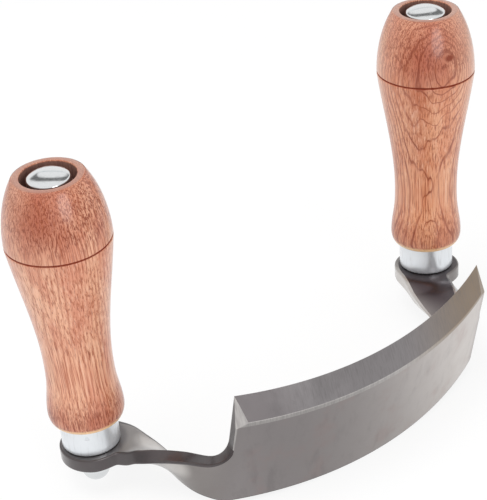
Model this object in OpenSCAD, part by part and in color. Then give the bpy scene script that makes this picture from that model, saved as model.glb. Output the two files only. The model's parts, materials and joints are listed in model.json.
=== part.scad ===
// Curved drawknife: one forged blade whose two ends are drawn down into necks, twisted a quarter
// turn and flattened into eyes. A tie bolt runs down each turned handle, through its ferrule and
// the eye, and is drawn up by a cap nut below.
//
// The blade is laid out square to its own axis: +Z runs from its back to its cutting edge, the
// handle axes cross the upper faces of the eyes at x = +-handle_span / 2, y = 0, z = 0, and the
// convex side faces -Y. The last step leans all of it as it stands on a bench, on the two cap
// nuts and the lower corner of the blade.

/* [Blade] */
// Thickness of the forged plate, the same in blade, necks and eyes
plate_t = 4.8; // [3:0.1:6]
// Height of the blade from its back to its cutting edge
blade_w = 43.6; // [32:0.1:60]
// Radius of the blade's outer, convex face
blade_r = 139.6; // [115:0.1:200]
// Length of the cutting edge, along its curve
edge_l = 113; // [90:0.5:118]
// Angle of the bevel ground on the convex side
bevel_angle = 30; // [20:1:40]
// How far the blade's front lies ahead of the handle axes
reach = 56.7; // [45:0.1:70]
// How far the blade's back lies below the upper faces of the eyes
back_drop = 4.4; // [2:0.1:7]
// Length of the facet ground off each corner of the bevel
corner_l = 4.5; // [2:0.5:8]
// Angle of that facet to the bevel
corner_angle = 12; // [5:1:20]
// Chamfer that breaks the blade's back corners and the eyes' rims
arris = 0.4; // [0.2:0.1:0.8]

/* [Necks] */
// Width of the neck where it leaves the blade
neck_w = 15.5; // [12:0.1:18]
// Radius between the blade's end and the neck
neck_fillet = 9; // [5:0.5:10]
// How strongly the neck keeps the blade's direction as it leaves
neck_lead = 9.2; // [6:0.1:13]
// How strongly the neck keeps the eye's direction as it arrives
neck_run = 18.5; // [12:0.5:24]
// Direction in which the neck arrives at the eye, from the line between the handles
neck_turn = 42.5; // [35:0.5:55]
// Pull that narrows the twisted part on its back side
neck_back = 3.9; // [3:0.1:7]
// Pull that narrows the twisted part on its front side
neck_front = 7; // [5:0.1:8]
// Half width of the neck's front side at the eye
neck_eye = 6.4; // [5:0.1:8]
// Where along the neck the twist starts, as a share of its length
twist_from = 0.2; // [0.05:0.01:0.3]
// Where along the neck the twist ends, as a share of its length
twist_to = 0.9; // [0.8:0.01:0.95]

/* [Eyes] */
// Diameter of the eye
eye_d = 23.2; // [21:0.1:30]
// How far the eye's middle lies inside the handle axis
eye_in = 0.8; // [0:0.1:1.5]
// How far the eye's middle lies ahead of the handle axis
eye_ahead = 1.5; // [0:0.1:2]

/* [Handles] */
// Distance between the two handle axes at the eyes
handle_span = 156.4; // [150:0.1:180]
// Lean of the handles back from the blade
handle_lean = 14; // [5:0.5:20]
// Splay of each handle outwards
handle_splay = 2; // [0:0.5:6]
// Height of the grip's rim above the eye
grip_l = 100.6; // [90:0.1:130]
// Greatest diameter of the grip, at the turned groove
grip_d = 34.7; // [31:0.1:40]
// Height of the greatest diameter above the eye
swell_z = 78; // [70:0.5:84]
// Diameter of the grip's waist
waist_d = 22.5; // [21:0.5:28]
// Height of the waist above the eye
waist_z = 32; // [26:0.5:44]
// Diameter of the bulge over the ferrule
flare_d = 25.4; // [24.5:0.1:30]
// Height of that bulge above the eye
flare_z = 14.2; // [12.5:0.1:18]
// Diameter of the flat rim round the bolt's recess
rim_d = 23; // [21:0.1:28]
// Width of the turned groove
groove_w = 0.9; // [0.6:0.1:2]
// Depth of the turned groove
groove_depth = 0.5; // [0.3:0.1:1.2]

/* [Ferrules] */
// Outer diameter of the ferrule
ferrule_d = 20.1; // [18:0.1:21]
// Height of the ferrule
ferrule_l = 10.2; // [7:0.1:11.5]
// Wall of the ferrule, and of its floor
ferrule_wall = 1; // [0.6:0.1:1.5]
// Width of the wood's shoulder beyond the ferrule
shoulder = 0.75; // [0.2:0.05:1.2]

/* [Tie bolts] */
// Diameter of the bolt
bolt_d = 6; // [5:0.5:7]
// Diameter of its round head
head_d = 14.3; // [12:0.1:16]
// Height of the straight edge of the head
head_edge = 4.8; // [2:0.1:6]
// Height of the dome over that edge
head_dome = 2.2; // [1:0.1:3]
// Height of the square neck under the head
square_l = 3.4; // [2:0.1:5]
// Diameter of the recess for the head
recess_d = 18.2; // [16.5:0.1:19.5]
// Depth of the recess for the head
recess_depth = 5.6; // [4.5:0.1:8]

/* [Cap nuts] */
// Thickness of the lock washer
washer_t = 1.6; // [1:0.1:2]
// Outer diameter of the lock washer
washer_d = 11.8; // [10:0.1:14]
// Slit of the lock washer
washer_slit = 0.6; // [0.4:0.1:1.2]
// Width of the cap nut across its flats
nut_af = 10; // [10:0.5:13]
// Height of the nut's hexagon
nut_hex = 4.2; // [3.5:0.1:6]
// Height turned off the nut's corners, above and below
nut_chamfer = 0.6; // [0.3:0.1:1.2]
// How much smaller than the flats the dome is, on each side
dome_step = 0.2; // [0.1:0.1:0.8]
// Depth of the thread in the nut
thread_depth = 6.5; // [5.5:0.1:7]

/* [Clearances] */
// Room around the bolt, on its diameter
bolt_play = 0.4; // [0.2:0.1:1]
// Room in the thread, on its diameter
thread_play = 0.2; // [0.1:0.1:0.4]
// Room between the wood's tenon and the ferrule, on the diameter
tenon_play = 0.2; // [0.1:0.1:0.4]
// Room between the end of the bolt and the bottom of the thread
end_play = 0.5; // [0.3:0.1:1]

/* [Hidden] */
$fn = 96;
LEFT = -1;
RIGHT = 1;
// Overrun of a cutting tool past the face that it cuts
over = 1;
// How much lower than the plate's faces the neck is dressed, on each side
dress = 0.05;
// Length of the neck's root inside the blade's end
root_l = 4;
// Rings along the neck, and how they crowd towards the fillet
neck_rings = 38;
ring_crowd = 1.4;
// Steps along a curved stretch of the grip's outline
turn_steps = 14;
// How full the grip swells below the groove, and how lean it stays above the bulge
swell_fullness = 1.03;
flare_lean = 1.7;

// Blade, by angle about its own axis
blade_axis = blade_r - reach;
back_z = -back_drop;
edge_z = back_z + blade_w;
bevel_h = plate_t / tan(bevel_angle);
end_angle = edge_l / 2 / (blade_r - plate_t) * 180 / PI;
mid_r = blade_r - plate_t / 2;

// The right handle's axis, and the point where it meets the eye
handle_axis = [cos(handle_lean) * sin(handle_splay), sin(handle_lean),
               cos(handle_lean) * cos(handle_splay)];
handle_foot = [handle_span / 2, 0, 0];

// The nut's dome, as a ball whose middle lies on the handle axis
dome_r = nut_af / 2 - dome_step;
nut_top = -plate_t - washer_t;
ball = handle_foot + (nut_top - nut_hex) * handle_axis;

// Lean at which the two balls and the blade's lower corner touch one plane
corner_y = blade_axis - blade_r + arris;
corner_gap = [ball.y - corner_y, ball.z - back_z];
rest_lean = asin(dome_r / norm(corner_gap)) - atan2(corner_gap.y, corner_gap.x);
lift = -(sin(rest_lean) * corner_y + cos(rest_lean) * back_z);

// Depth of the whole tool as it stands, from the bevel's foot to the crown of the grips
crown_h = (grip_l - swell_z) / sqrt(1 - pow(rim_d / grip_d, 2));
swell = handle_foot + swell_z * handle_axis;
stand_tilt = handle_lean - rest_lean;
front_y = cos(rest_lean) * -reach - sin(rest_lean) * (edge_z - bevel_h);
rear_y = cos(rest_lean) * swell.y - sin(rest_lean) * swell.z
    + norm([cos(stand_tilt) * grip_d / 2, sin(stand_tilt) * crown_h]);

// Vectors
function unit(v) = v / norm(v);
function across(v, axis) = unit(v - (v * axis) * axis);

// A smooth step from 0 to 1
function ease(f) = let (g = min(max(f, 0), 1)) g * g * (3 - 2 * g);

// A curve through three or four control values
function bend3(u, a, b, c) = (1 - u) * (1 - u) * a + 2 * u * (1 - u) * b + u * u * c;
function bend4(u, a, b, c, d) = (1 - u) * bend3(u, a, b, c) + u * bend3(u, b, c, d);

// Neck's middle line, from the blade's end to the middle of the eye
function blade_mid(angle) = [mid_r * sin(angle), blade_axis - mid_r * cos(angle), back_z + neck_w / 2];
function level(d) = unit([d.x, d.y, -(d.x * handle_axis.x + d.y * handle_axis.y) / handle_axis.z]);
neck_start = blade_mid(end_angle);
neck_out = [cos(end_angle), sin(end_angle), 0];
neck_in = level([cos(neck_turn), sin(neck_turn)]);
eye_xy = [-eye_in, -eye_ahead];
eye_mid = handle_foot + [eye_xy.x, eye_xy.y, -(eye_xy * [handle_axis.x, handle_axis.y]) / handle_axis.z]
    - plate_t / 2 * handle_axis;
neck_a = neck_start + neck_lead * neck_out;
neck_b = eye_mid - neck_run * neck_in;
function neck_point(u) = bend4(u, neck_start, neck_a, neck_b, eye_mid);
function neck_dir(u) = unit(bend3(u, neck_a - neck_start, neck_b - neck_a, eye_mid - neck_b));

// Neck's twist, from upright at the blade to square with the handle at the eye
function upright(dir) = across([0, 0, 1], dir);
neck_end_w = cross(neck_in, handle_axis);
full_twist = atan2(neck_end_w * cross(neck_in, upright(neck_in)), neck_end_w * upright(neck_in));
function twist(u) = full_twist * ease((u - twist_from) / (twist_to - twist_from));

// Height of the fillet over the neck's upper edge, at a distance from the blade's end
function fillet_rise(s) =
    s < neck_fillet ? neck_fillet - sqrt(pow(neck_fillet, 2) - pow(neck_fillet - s, 2)) : 0;

// One ring of the neck: a chamfered section in the plane square to its middle line
function ring(point, dir, turn, low, high) =
    let (up = upright(dir),
         w = cos(turn) * up + sin(turn) * cross(dir, up),
         n = cross(w, dir),
         half = plate_t / 2 - dress)
    [for (p = [[low + arris, -half], [high - arris, -half], [high, arris - half], [high, half - arris],
               [high - arris, half], [low + arris, half], [low, half - arris], [low, arris - half]])
        point + p.x * w + p.y * n];

function neck_ring(u) =
    ring(neck_point(u), neck_dir(u), twist(u),
         dress - bend3(u, neck_w / 2, neck_back, eye_d / 2),
         bend3(u, neck_w / 2, neck_front, neck_eye) + fillet_rise(norm(neck_point(u) - neck_start)));

function root_ring() =
    let (angle = end_angle - root_l / mid_r * 180 / PI)
    ring(blade_mid(angle), [cos(angle), sin(angle), 0], 0, dress - neck_w / 2, neck_w / 2 + neck_fillet);

// A closed skin over a list of rings
module skin(rings) {
    sides = len(rings[0]);
    last = len(rings) - 1;
    polyhedron(
        points = [for (r = rings, p = r) p],
        faces = concat(
            [[for (i = [sides - 1 : -1 : 0]) i]],
            [[for (i = [0 : sides - 1]) last * sides + i]],
            [for (k = [0 : last - 1], i = [0 : sides - 1], half = [0, 1])
                let (a = k * sides + i, b = k * sides + (i + 1) % sides)
                half == 0 ? [a, b, a + sides] : [b, b + sides, a + sides]]),
        convexity = 6);
}

// The arc of the blade: a bevelled section turned about the blade's axis
module blade_arc() {
    inner = blade_r - plate_t;
    translate([0, blade_axis, 0])
        rotate([0, 0, -90 - end_angle])
            rotate_extrude(angle = 2 * end_angle, $fn = 360)
                polygon([[inner, back_z + arris], [inner + arris, back_z], [blade_r - arris, back_z],
                         [blade_r, back_z + arris], [blade_r, edge_z - bevel_h], [inner, edge_z]]);
}

// Block that grinds the facet off the right-hand corner of the bevel, far larger than the facet
module corner_grind() {
    size = edge_l / 4;
    facet_line = [corner_l - arris, plate_t, bevel_h];
    translate([0, blade_axis, 0])
        rotate([0, 0, end_angle])
            translate([-corner_l, -blade_r, edge_z - bevel_h])
                rotate(corner_angle, facet_line)
                    rotate([90 - bevel_angle, 0, 0])
                        translate([-size / 2, -size / 2, 0]) cube(size);
}

module neck() {
    skin(concat([root_ring()], [for (k = [0 : neck_rings]) neck_ring(pow(k / neck_rings, ring_crowd))]));
}

// Places its children on the axis of one handle, with z = 0 on the eye's upper face
module on_handle(side) {
    translate([side * handle_span / 2, 0, 0])
        rotate([0, side * handle_splay, 0])
            rotate([-handle_lean, 0, 0])
                children();
}

module eye_plate() {
    on_handle(RIGHT)
        translate([eye_xy.x, eye_xy.y, -plate_t])
            rotate_extrude()
                polygon([[0, 0], [eye_d / 2 - arris, 0], [eye_d / 2, arris], [eye_d / 2, plate_t - arris],
                         [eye_d / 2 - arris, plate_t], [0, plate_t]]);
}

module forging() {
    difference() {
        union() {
            blade_arc();
            for (side = [0, 1]) mirror([side, 0, 0]) {
                neck();
                eye_plate();
            }
        }
        for (side = [0, 1]) mirror([side, 0, 0]) corner_grind();
        for (side = [LEFT, RIGHT])
            on_handle(side)
                translate([0, 0, -plate_t - over])
                    cylinder(d = bolt_d + bolt_play, h = plate_t + 2 * over);
    }
}

// Outline of the turned grip, from the ferrule's floor to the rim
tenon_r = ferrule_d / 2 - ferrule_wall - tenon_play / 2;
shoulder_r = ferrule_d / 2 + shoulder;
function over_steps(n) = [for (k = [1 : n]) k / n];
flare_r = flare_d / 2;
waist_r = waist_d / 2;
grip_r = grip_d / 2;
function bulge(f) =
    [shoulder_r + (flare_r - shoulder_r) * sin(90 * f), flare_z - (flare_z - ferrule_l) * cos(90 * f)];
function taper(f) =
    [waist_r + (flare_r - waist_r) * pow(1 - ease(f), flare_lean), flare_z + (waist_z - flare_z) * f];
function belly(f) =
    [bend4(f, waist_r, waist_r, grip_r - swell_fullness * (grip_r - waist_r) / 3, grip_r),
     waist_z + (swell_z - groove_w / 2 - waist_z) * f];
function crown(f) =
    let (z = groove_w / 2 + (grip_l - swell_z - groove_w / 2) * sin(90 * f))
    [grip_r * sqrt(1 - pow(z / crown_h, 2)), swell_z + z];
grip_outline = concat(
    [[0, ferrule_wall], [tenon_r, ferrule_wall], [tenon_r, ferrule_l], [shoulder_r, ferrule_l]],
    [for (f = over_steps(turn_steps / 2)) bulge(f)],
    [for (f = over_steps(turn_steps)) taper(f)],
    [for (f = over_steps(turn_steps)) belly(f)],
    [[grip_r - groove_depth, swell_z], [grip_r, swell_z + groove_w / 2]],
    [for (f = over_steps(turn_steps)) crown(f)],
    [[0, grip_l]]);

module grip() {
    difference() {
        rotate_extrude() polygon(grip_outline);
        translate([0, 0, ferrule_wall - over]) cylinder(d = bolt_d + bolt_play, h = grip_l);
        translate([0, 0, grip_l - recess_depth]) cylinder(d = recess_d, h = recess_depth + over);
        translate([0, 0, grip_l - recess_depth - square_l / 2])
            cube([bolt_d + bolt_play, bolt_d + bolt_play, square_l + over], center = true);
    }
}

// Drawn cup: its rounded lower corner sits on the eye, its mouth under the wood's shoulder
module ferrule() {
    difference() {
        rotate_extrude()
            polygon(concat([[0, 0]],
                [for (a = [0 : 15 : 90])
                    [ferrule_d / 2 - ferrule_wall * (1 - sin(a)), ferrule_wall * (1 - cos(a))]],
                [[ferrule_d / 2, ferrule_l], [0, ferrule_l]]));
        translate([0, 0, ferrule_wall]) cylinder(d = ferrule_d - 2 * ferrule_wall, h = ferrule_l);
        translate([0, 0, -over]) cylinder(d = bolt_d + bolt_play, h = ferrule_wall + 2 * over);
    }
}

// Round-headed bolt with a square neck that keeps it from turning in the wood
module tie_bolt() {
    seat = grip_l - recess_depth;
    tip = nut_top - thread_depth + end_play;
    // Radius of the ball whose cap is the dome
    cap_r = (pow(head_d / 2, 2) + pow(head_dome, 2)) / 2 / head_dome;
    translate([0, 0, seat]) cylinder(d = head_d, h = head_edge);
    intersection() {
        translate([0, 0, seat + head_edge + head_dome - cap_r]) sphere(r = cap_r);
        translate([0, 0, seat + head_edge]) cylinder(d = head_d, h = head_dome + over);
    }
    translate([-bolt_d / 2, -bolt_d / 2, seat - square_l]) cube([bolt_d, bolt_d, square_l]);
    translate([0, 0, tip]) cylinder(d = bolt_d, h = seat - tip);
}

module lock_washer() {
    translate([0, 0, -plate_t - washer_t])
        difference() {
            cylinder(d = washer_d, h = washer_t);
            translate([0, 0, -over]) cylinder(d = bolt_d + bolt_play, h = washer_t + 2 * over);
            translate([0, 0, washer_t / 2])
                rotate([30, 0, 0])
                    translate([0, -washer_slit / 2, -2 * washer_t])
                        cube([washer_d, washer_slit, 4 * washer_t]);
        }
}

// Hexagon with its seat corners turned off, and a blind thread closed by a dome
module cap_nut() {
    corner_d = nut_af / cos(30);
    translate([0, 0, nut_top])
        difference() {
            union() {
                intersection() {
                    translate([0, 0, -nut_hex]) cylinder(d = corner_d, h = nut_hex, $fn = 6);
                    rotate_extrude()
                        polygon([[0, 0], [nut_af / 2, 0], [corner_d / 2, -nut_chamfer],
                                 [corner_d / 2, nut_chamfer - nut_hex], [nut_af / 2, -nut_hex],
                                 [0, -nut_hex]]);
                }
                translate([0, 0, -nut_hex])
                    intersection() {
                        sphere(r = dome_r);
                        translate([0, 0, -dome_r]) cylinder(d = nut_af, h = dome_r + nut_hex / 2);
                    }
            }
            translate([0, 0, -thread_depth]) cylinder(d = bolt_d + thread_play, h = thread_depth + over);
        }
}

// Leans the tool as it stands, sets it on z = 0 and centres its depth on y = 0
module standing() {
    translate([0, -(front_y + rear_y) / 2, lift]) rotate([rest_lean, 0, 0]) children();
}

module blade() color("#6f6b6b") standing() forging();
module left_grip() color("#c4805f") standing() on_handle(LEFT) grip();
module right_grip() color("#c4805f") standing() on_handle(RIGHT) grip();
module left_ferrule() color("#d5d8dc") standing() on_handle(LEFT) ferrule();
module right_ferrule() color("#d5d8dc") standing() on_handle(RIGHT) ferrule();
module left_tie_bolt() color("#e2e4e6") standing() on_handle(LEFT) tie_bolt();
module right_tie_bolt() color("#e2e4e6") standing() on_handle(RIGHT) tie_bolt();
module left_lock_washer() color("#b9bcc0") standing() on_handle(LEFT) lock_washer();
module right_lock_washer() color("#b9bcc0") standing() on_handle(RIGHT) lock_washer();
module left_cap_nut() color("#e2e4e6") standing() on_handle(LEFT) cap_nut();
module right_cap_nut() color("#e2e4e6") standing() on_handle(RIGHT) cap_nut();

blade();
left_grip();
right_grip();
left_ferrule();
right_ferrule();
left_tie_bolt();
right_tie_bolt();
left_lock_washer();
right_lock_washer();
left_cap_nut();
right_cap_nut();
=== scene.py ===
"""A curved drawknife: one forged and bevelled blade on two twisted necks, and two turned wooden
handles, each clamped to its eye by a round-headed bolt, a lock washer and a cap nut.

Lengths are in metres: +X to the right handle, +Y from the blade to the handles, +Z up. Handles and
fastenings are worked out upright on their own axis first, with height 0 on the eye's upper face.
"""

import json
from functools import partial
from math import atan2, cos, pi, radians, sin, sqrt, tan
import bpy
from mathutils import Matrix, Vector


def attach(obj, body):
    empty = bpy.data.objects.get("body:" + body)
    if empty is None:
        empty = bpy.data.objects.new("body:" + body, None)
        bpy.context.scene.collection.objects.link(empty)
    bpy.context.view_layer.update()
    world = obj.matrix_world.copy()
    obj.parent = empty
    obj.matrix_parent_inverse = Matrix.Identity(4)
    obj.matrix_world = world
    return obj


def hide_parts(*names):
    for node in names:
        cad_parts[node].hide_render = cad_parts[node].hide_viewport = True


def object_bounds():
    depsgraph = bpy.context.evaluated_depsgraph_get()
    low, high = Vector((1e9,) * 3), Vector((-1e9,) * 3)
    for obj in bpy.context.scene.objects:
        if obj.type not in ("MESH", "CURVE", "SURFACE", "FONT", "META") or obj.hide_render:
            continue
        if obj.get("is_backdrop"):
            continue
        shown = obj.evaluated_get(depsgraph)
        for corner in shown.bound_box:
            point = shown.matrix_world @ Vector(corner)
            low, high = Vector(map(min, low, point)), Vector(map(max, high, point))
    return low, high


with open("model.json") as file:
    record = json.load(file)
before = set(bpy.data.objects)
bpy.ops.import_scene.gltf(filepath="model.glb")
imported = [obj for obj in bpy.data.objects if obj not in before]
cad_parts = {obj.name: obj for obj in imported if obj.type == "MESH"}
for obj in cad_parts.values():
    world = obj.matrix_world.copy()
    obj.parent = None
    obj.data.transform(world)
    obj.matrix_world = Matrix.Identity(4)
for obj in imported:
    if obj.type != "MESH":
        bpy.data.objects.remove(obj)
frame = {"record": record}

from types import SimpleNamespace

import bmesh
import bpy
import numpy as np
from bpy.props import FloatProperty, FloatVectorProperty, PointerProperty
from mathutils import Matrix, Vector

bl_info = {
    "name": "Curved Drawknife",
    "version": (1, 0, 0),
    "blender": (4, 5, 0),
    "location": "View3D > Sidebar > Drawknife",
    "description": "Builds a curved drawknife: forging, turned handles, fastenings and a pale stage",
    "category": "Add Mesh",
}

MM = 0.001
BODY = "root"
SIDES = {"left": -1, "right": 1}
MOUNTS = {mount["name"]: mount for mount in frame["record"]["mounts"]}
CAD_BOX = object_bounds()
# Angle between two faces past which the edge between them is drawn sharp
SHARP = radians(24)
# Stations down the end cut of the blade
END_STEPS = 27
# Vertices whose distance is below this are one
WELD = 1e-7


# Properties

def linear(code):
    """Linear RGB of an sRGB hex colour: a straight line in the darkest tones, a 2.4 power above."""
    s = np.array([int(code[i:i + 2], 16) for i in (1, 3, 5)]) / 255
    rgb = np.where(s <= 0.04045, s / 12.92, ((s + 0.055) / 1.055) ** 2.4)
    return tuple(float(c) for c in rgb)


def length(name, description, mm):
    return FloatProperty(name=name, description=description, default=mm * MM, unit="LENGTH", precision=5)


def angle(name, description, degrees):
    return FloatProperty(name=name, description=description, default=radians(degrees), subtype="ANGLE")


def share(name, description, default):
    return FloatProperty(name=name, description=description, default=default, min=0, max=1)


def strength(name, description, default):
    return FloatProperty(name=name, description=description, default=default, min=0)


def colour(name, description, code):
    return FloatVectorProperty(name=name, description=description, default=linear(code), subtype="COLOR",
                               size=3, min=0, max=1)


def spot(name, description, *mm):
    return FloatVectorProperty(name=name, description=description, default=[v * MM for v in mm],
                               subtype="TRANSLATION", unit="LENGTH", precision=5)


class ForgingSettings(bpy.types.PropertyGroup):
    plate_t: length("Plate", "Thickness of the forged plate", 4.8)
    blade_w: length("Blade height", "From the blade's back to its cutting edge", 43.6)
    blade_r: length("Blade radius", "Radius of the blade's convex face", 139.6)
    edge_l: length("Edge", "Length of the cutting edge along its curve", 113)
    bevel_angle: angle("Bevel", "Angle of the bevel ground on the convex side", 30)
    reach: length("Reach", "How far the blade's front lies ahead of the handle axes", 56.7)
    back_drop: length("Back drop", "How far the blade's back lies below the eyes' upper faces", 4.4)
    corner_l: length("Corner", "Length of the facet ground off each corner of the bevel", 4.5)
    corner_angle: angle("Corner angle", "Angle of that facet to the bevel", 12)
    neck_w: length("Neck width", "Width of the neck where it leaves the blade", 15.5)
    neck_fillet: length("Neck fillet", "Radius between the blade's end and the neck", 9)
    neck_lead: length("Neck lead", "How strongly the neck keeps the blade's direction", 9.2)
    neck_run: length("Neck run", "How strongly the neck keeps the eye's direction", 18.5)
    neck_turn: angle("Neck turn", "Direction in which the neck arrives at the eye", 42.5)
    neck_back: length("Back pull", "Pull that narrows the twisted part on its back side", 3.9)
    neck_front: length("Front pull", "Pull that narrows the twisted part on its front side", 7)
    neck_eye: length("Neck at the eye", "Half width of the neck's front side at the eye", 6.4)
    twist_from: share("Twist start", "Where along the neck the twist starts", 0.2)
    twist_to: share("Twist end", "Where along the neck the twist ends", 0.9)
    eye_d: length("Eye", "Diameter of the eye", 23.6)
    eye_in: length("Eye offset in", "How far the eye's middle lies inside the handle axis", 0.6)
    eye_ahead: length("Eye offset ahead", "How far the eye's middle lies ahead of the handle axis", 0.9)
    eye_hole: length("Eye hole", "Diameter of the bolt's hole", 6.4)
    soft_edge: length("Forged edge", "Rounding of the edges that the forging leaves", 0.6)
    # Forge scale, also laid as a ring of painted shade round each ferrule
    scale_and_shade_colour: colour("Forge scale", "Oiled dark skin of the plate's sides", "#484244")
    neck_colour: colour("Left neck", "Oiled steel of the left neck and eye", "#88827f")
    # Darker, redder colour laid on the right neck and eye
    dark_neck_colour: colour("Right neck", "The same with more forge scale, on the right", "#4c4043")
    face_colour: colour("Blade face", "Blade's satin face", "#a49e9e")
    # Painted reflection: the blade's face made lighter towards its right end
    painted_reflection_colour: colour("Worn face", "Blade's face where it is rubbed brighter", "#cdc7c3")
    # Paler colour of two spots on the left neck, and the painted highlight on the right neck's sides
    pale_spot_and_highlight_colour: colour("Rubbed steel", "Twist of the left neck, rubbed bright", "#c8c3bf")
    tint_colour: colour("Rosy tint", "Patches that hardening leaves on the face", "#b59c98")
    dull_colour: colour("Dull steel", "Left end of the bevel, dull from the stone", "#7b7677")
    ground_colour: colour("Ground steel", "Fresh steel of the bevel", "#938f90")
    straw_colour: colour("Straw tint", "Tempered steel of the bevel", "#90806f")
    # Eased steel of the bevel's corners and foot, made near white partly as a painted highlight along the
    # foot's arris
    eased_steel_and_highlight_colour: colour("Bright steel", "Steel eased on a fine wheel", "#e0dcd8")


class HandleSettings(bpy.types.PropertyGroup):
    grip_l: length("Length", "Height of the grip's rim above the eye", 100.6)
    grip_d: length("Swell", "Greatest diameter of the grip, at the turned groove", 34.7)
    swell_z: length("Swell height", "Height of the greatest diameter", 78)
    waist_d: length("Waist", "Diameter of the waist", 22.5)
    waist_z: length("Waist height", "Height of the waist", 32)
    flare_d: length("Flare", "Diameter of the bulge over the ferrule", 25.4)
    flare_z: length("Flare height", "Height of that bulge", 14.2)
    rim_d: length("Rim", "Diameter of the flat rim round the bolt's recess", 23)
    groove_w: length("Groove", "Width of the turned groove", 0.9)
    groove_depth: length("Groove depth", "Depth of the turned groove", 0.5)
    shoulder: length("Shoulder", "Width of the wood's shoulder beyond the ferrule", 1.1)
    recess_d: length("Recess", "Diameter of the recess for the bolt's head", 18.2)
    recess_depth: length("Recess depth", "Depth of the recess for the bolt's head", 5.6)
    tenon_play: length("Tenon play", "Room between the tenon and the ferrule, on the diameter", 0.2)
    bore: length("Bore", "Diameter of the bolt's hole", 6.4)
    wood_light: colour("Light wood", "Lighter body colour of the wood", "#e2aa8a")
    wood_mid: colour("Wood", "Body colour of the wood", "#d28d6f")
    # Pale streaks of the wood, also laid as painted sheen on the crown's sides
    pale_streak_and_sheen_colour: colour("Pale streaks", "Palest streaks of the wood", "#eec6ae")
    warm_wood: colour("Warm wood", "Heartwood that warms the right grip", "#cc7c42")
    # Redder wood of the crown and the foot, also laid as painted shade on the crown's middle
    red_wood_and_shade_colour: colour("Stained wood", "Redder wood of the crown and the foot", "#963a20")
    wood_dark: colour("Dark wood", "Shade beside the late wood", "#a4583f")
    line_colour: colour("Late wood", "Thin dark lines along the grain", "#9c502e")
    pore_colour: colour("Pores", "Dark pores of the wood", "#7e3b28")
    fleck_colour: colour("Open pores", "Pores where the crown and the foot cut across them", "#7a2c0c")
    rim_colour: colour("Rim", "End grain of the flat rim", "#a47b6b")
    # Paler band at the lower lip, brightened as painted light on its shaded underside
    lip_colour: colour("Lip", "Bare wood at the grip's lower lip", "#fbd6a4")
    groove_colour: colour("Groove", "Stained bottom of the turned groove", "#7c3022")
    # Dark end grain of the recess wall, deepened by painted shade in the recess
    dark_end_grain_and_shade_colour: colour("Burnt wood", "Wall of the recess", "#745a54")


class FittingSettings(bpy.types.PropertyGroup):
    ferrule_d: length("Ferrule", "Outer diameter of the ferrule", 19.4)
    ferrule_l: length("Ferrule height", "Height of the ferrule", 10.2)
    ferrule_wall: length("Ferrule wall", "Wall of the ferrule", 0.8)
    stake_w: length("Stake mark", "Width of the punch mark that stakes the ferrule", 2.2)
    stake_depth: length("Stake depth", "Depth of the punch mark", 0.35)
    bolt_d: length("Bolt", "Diameter of the tie bolt", 6)
    head_d: length("Head", "Diameter of the bolt's round head", 14.3)
    head_edge: length("Head edge", "Height of the straight edge of the head", 4.8)
    head_dome: length("Head dome", "Height of the dome over that edge", 2.2)
    square_l: length("Square", "Height of the square neck under the head", 3.4)
    pitch: length("Pitch", "Pitch of the bolt's thread", 1)
    thread_l: length("Thread", "Length of the bolt's thread", 18)
    washer_t: length("Washer", "Thickness of the lock washer", 1.6)
    washer_d: length("Washer diameter", "Outer diameter of the lock washer", 11.8)
    nut_af: length("Nut", "Width of the cap nut across its flats", 10)
    nut_hex: length("Nut height", "Height of the nut's hexagon", 4.2)
    nut_chamfer: length("Nut chamfer", "Height turned off the nut's corners", 0.6)
    dome_step: length("Dome step", "How much smaller than the flats the dome is", 0.2)
    thread_depth: length("Thread depth", "Depth of the thread in the nut", 6.5)
    end_play: length("End play", "Room between the end of the bolt and the bottom of the thread", 0.5)
    plate_colour: colour("Nickel", "Bright nickel plate", "#dfe1e2")
    ferrule_colour: colour("Satin nickel", "Satin nickel plate of the ferrules", "#e4e8ec")
    zinc_colour: colour("Zinc", "Zinc plate of the lock washers", "#b4b6b8")


class StageSettings(bpy.types.PropertyGroup):
    lens: length("Focal length", "Focal length of the camera", 148.3)
    camera_place: spot("Camera", "Place of the camera", -385.0, -434.7, 426.4)
    camera_aim: spot("Aim", "Point in the middle of the picture", -0.14, 31.5, 50)
    camera_roll: angle("Roll", "Turn of the camera about its own line of sight", 2.665)
    floor_colour: colour("Floor", "Colour of the floor", "#f4f4f4")
    ambient: strength("Ambient", "Strength of the white surroundings as a light", 0.75)
    dim_front: share("Dim front", "Level of the surroundings in front of the tool, in reflections", 0.45)
    dim_floor: share("Dim floor", "Level of the floor before the blade, in reflections", 0.5)
    key: strength("Key light", "Power of the large soft lamp, in watts", 7)
    fill: strength("Front light", "Power of the soft lamp in front, in watts", 3.6)


# Curves and vectors

def unit(v):
    return v / np.linalg.norm(v, axis=-1, keepdims=True)


def dot(a, b):
    return (a * b).sum(-1, keepdims=True)


def across(v, axis):
    """Unit vector square to axis that lies nearest to v."""
    return unit(v - dot(v, axis) * axis)


def ease(f):
    """Smooth step from 0 to 1: three squares less two cubes."""
    g = np.clip(f, 0, 1)
    return g * g * (3 - 2 * g)


def bend3(u, a, b, c):
    """Quadratic curve from a to c, drawn towards b."""
    return (1 - u) ** 2 * a + 2 * u * (1 - u) * b + u ** 2 * c


def bend4(u, a, b, c, d):
    """Cubic curve from a to d, drawn towards b and c."""
    return (1 - u) * bend3(u, a, b, c) + u * bend3(u, b, c, d)


def larger(a, b, blend):
    """The larger of two values, with the corner between them rounded over about blend."""
    return (a + b + np.sqrt((a - b) ** 2 + blend ** 2)) / 2


# Placing: the layout frame, and the two handle axes in it

UP = -np.array(MOUNTS["blade_back"]["axis"])
ACROSS = np.array([1.0, 0.0, 0.0])
REARWARD = np.cross(UP, ACROSS)
GRIP_MIDDLE = 50 * MM


def handle_axis(side):
    return unit(np.array(MOUNTS[side + "_hand"]["axis"]))


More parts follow.
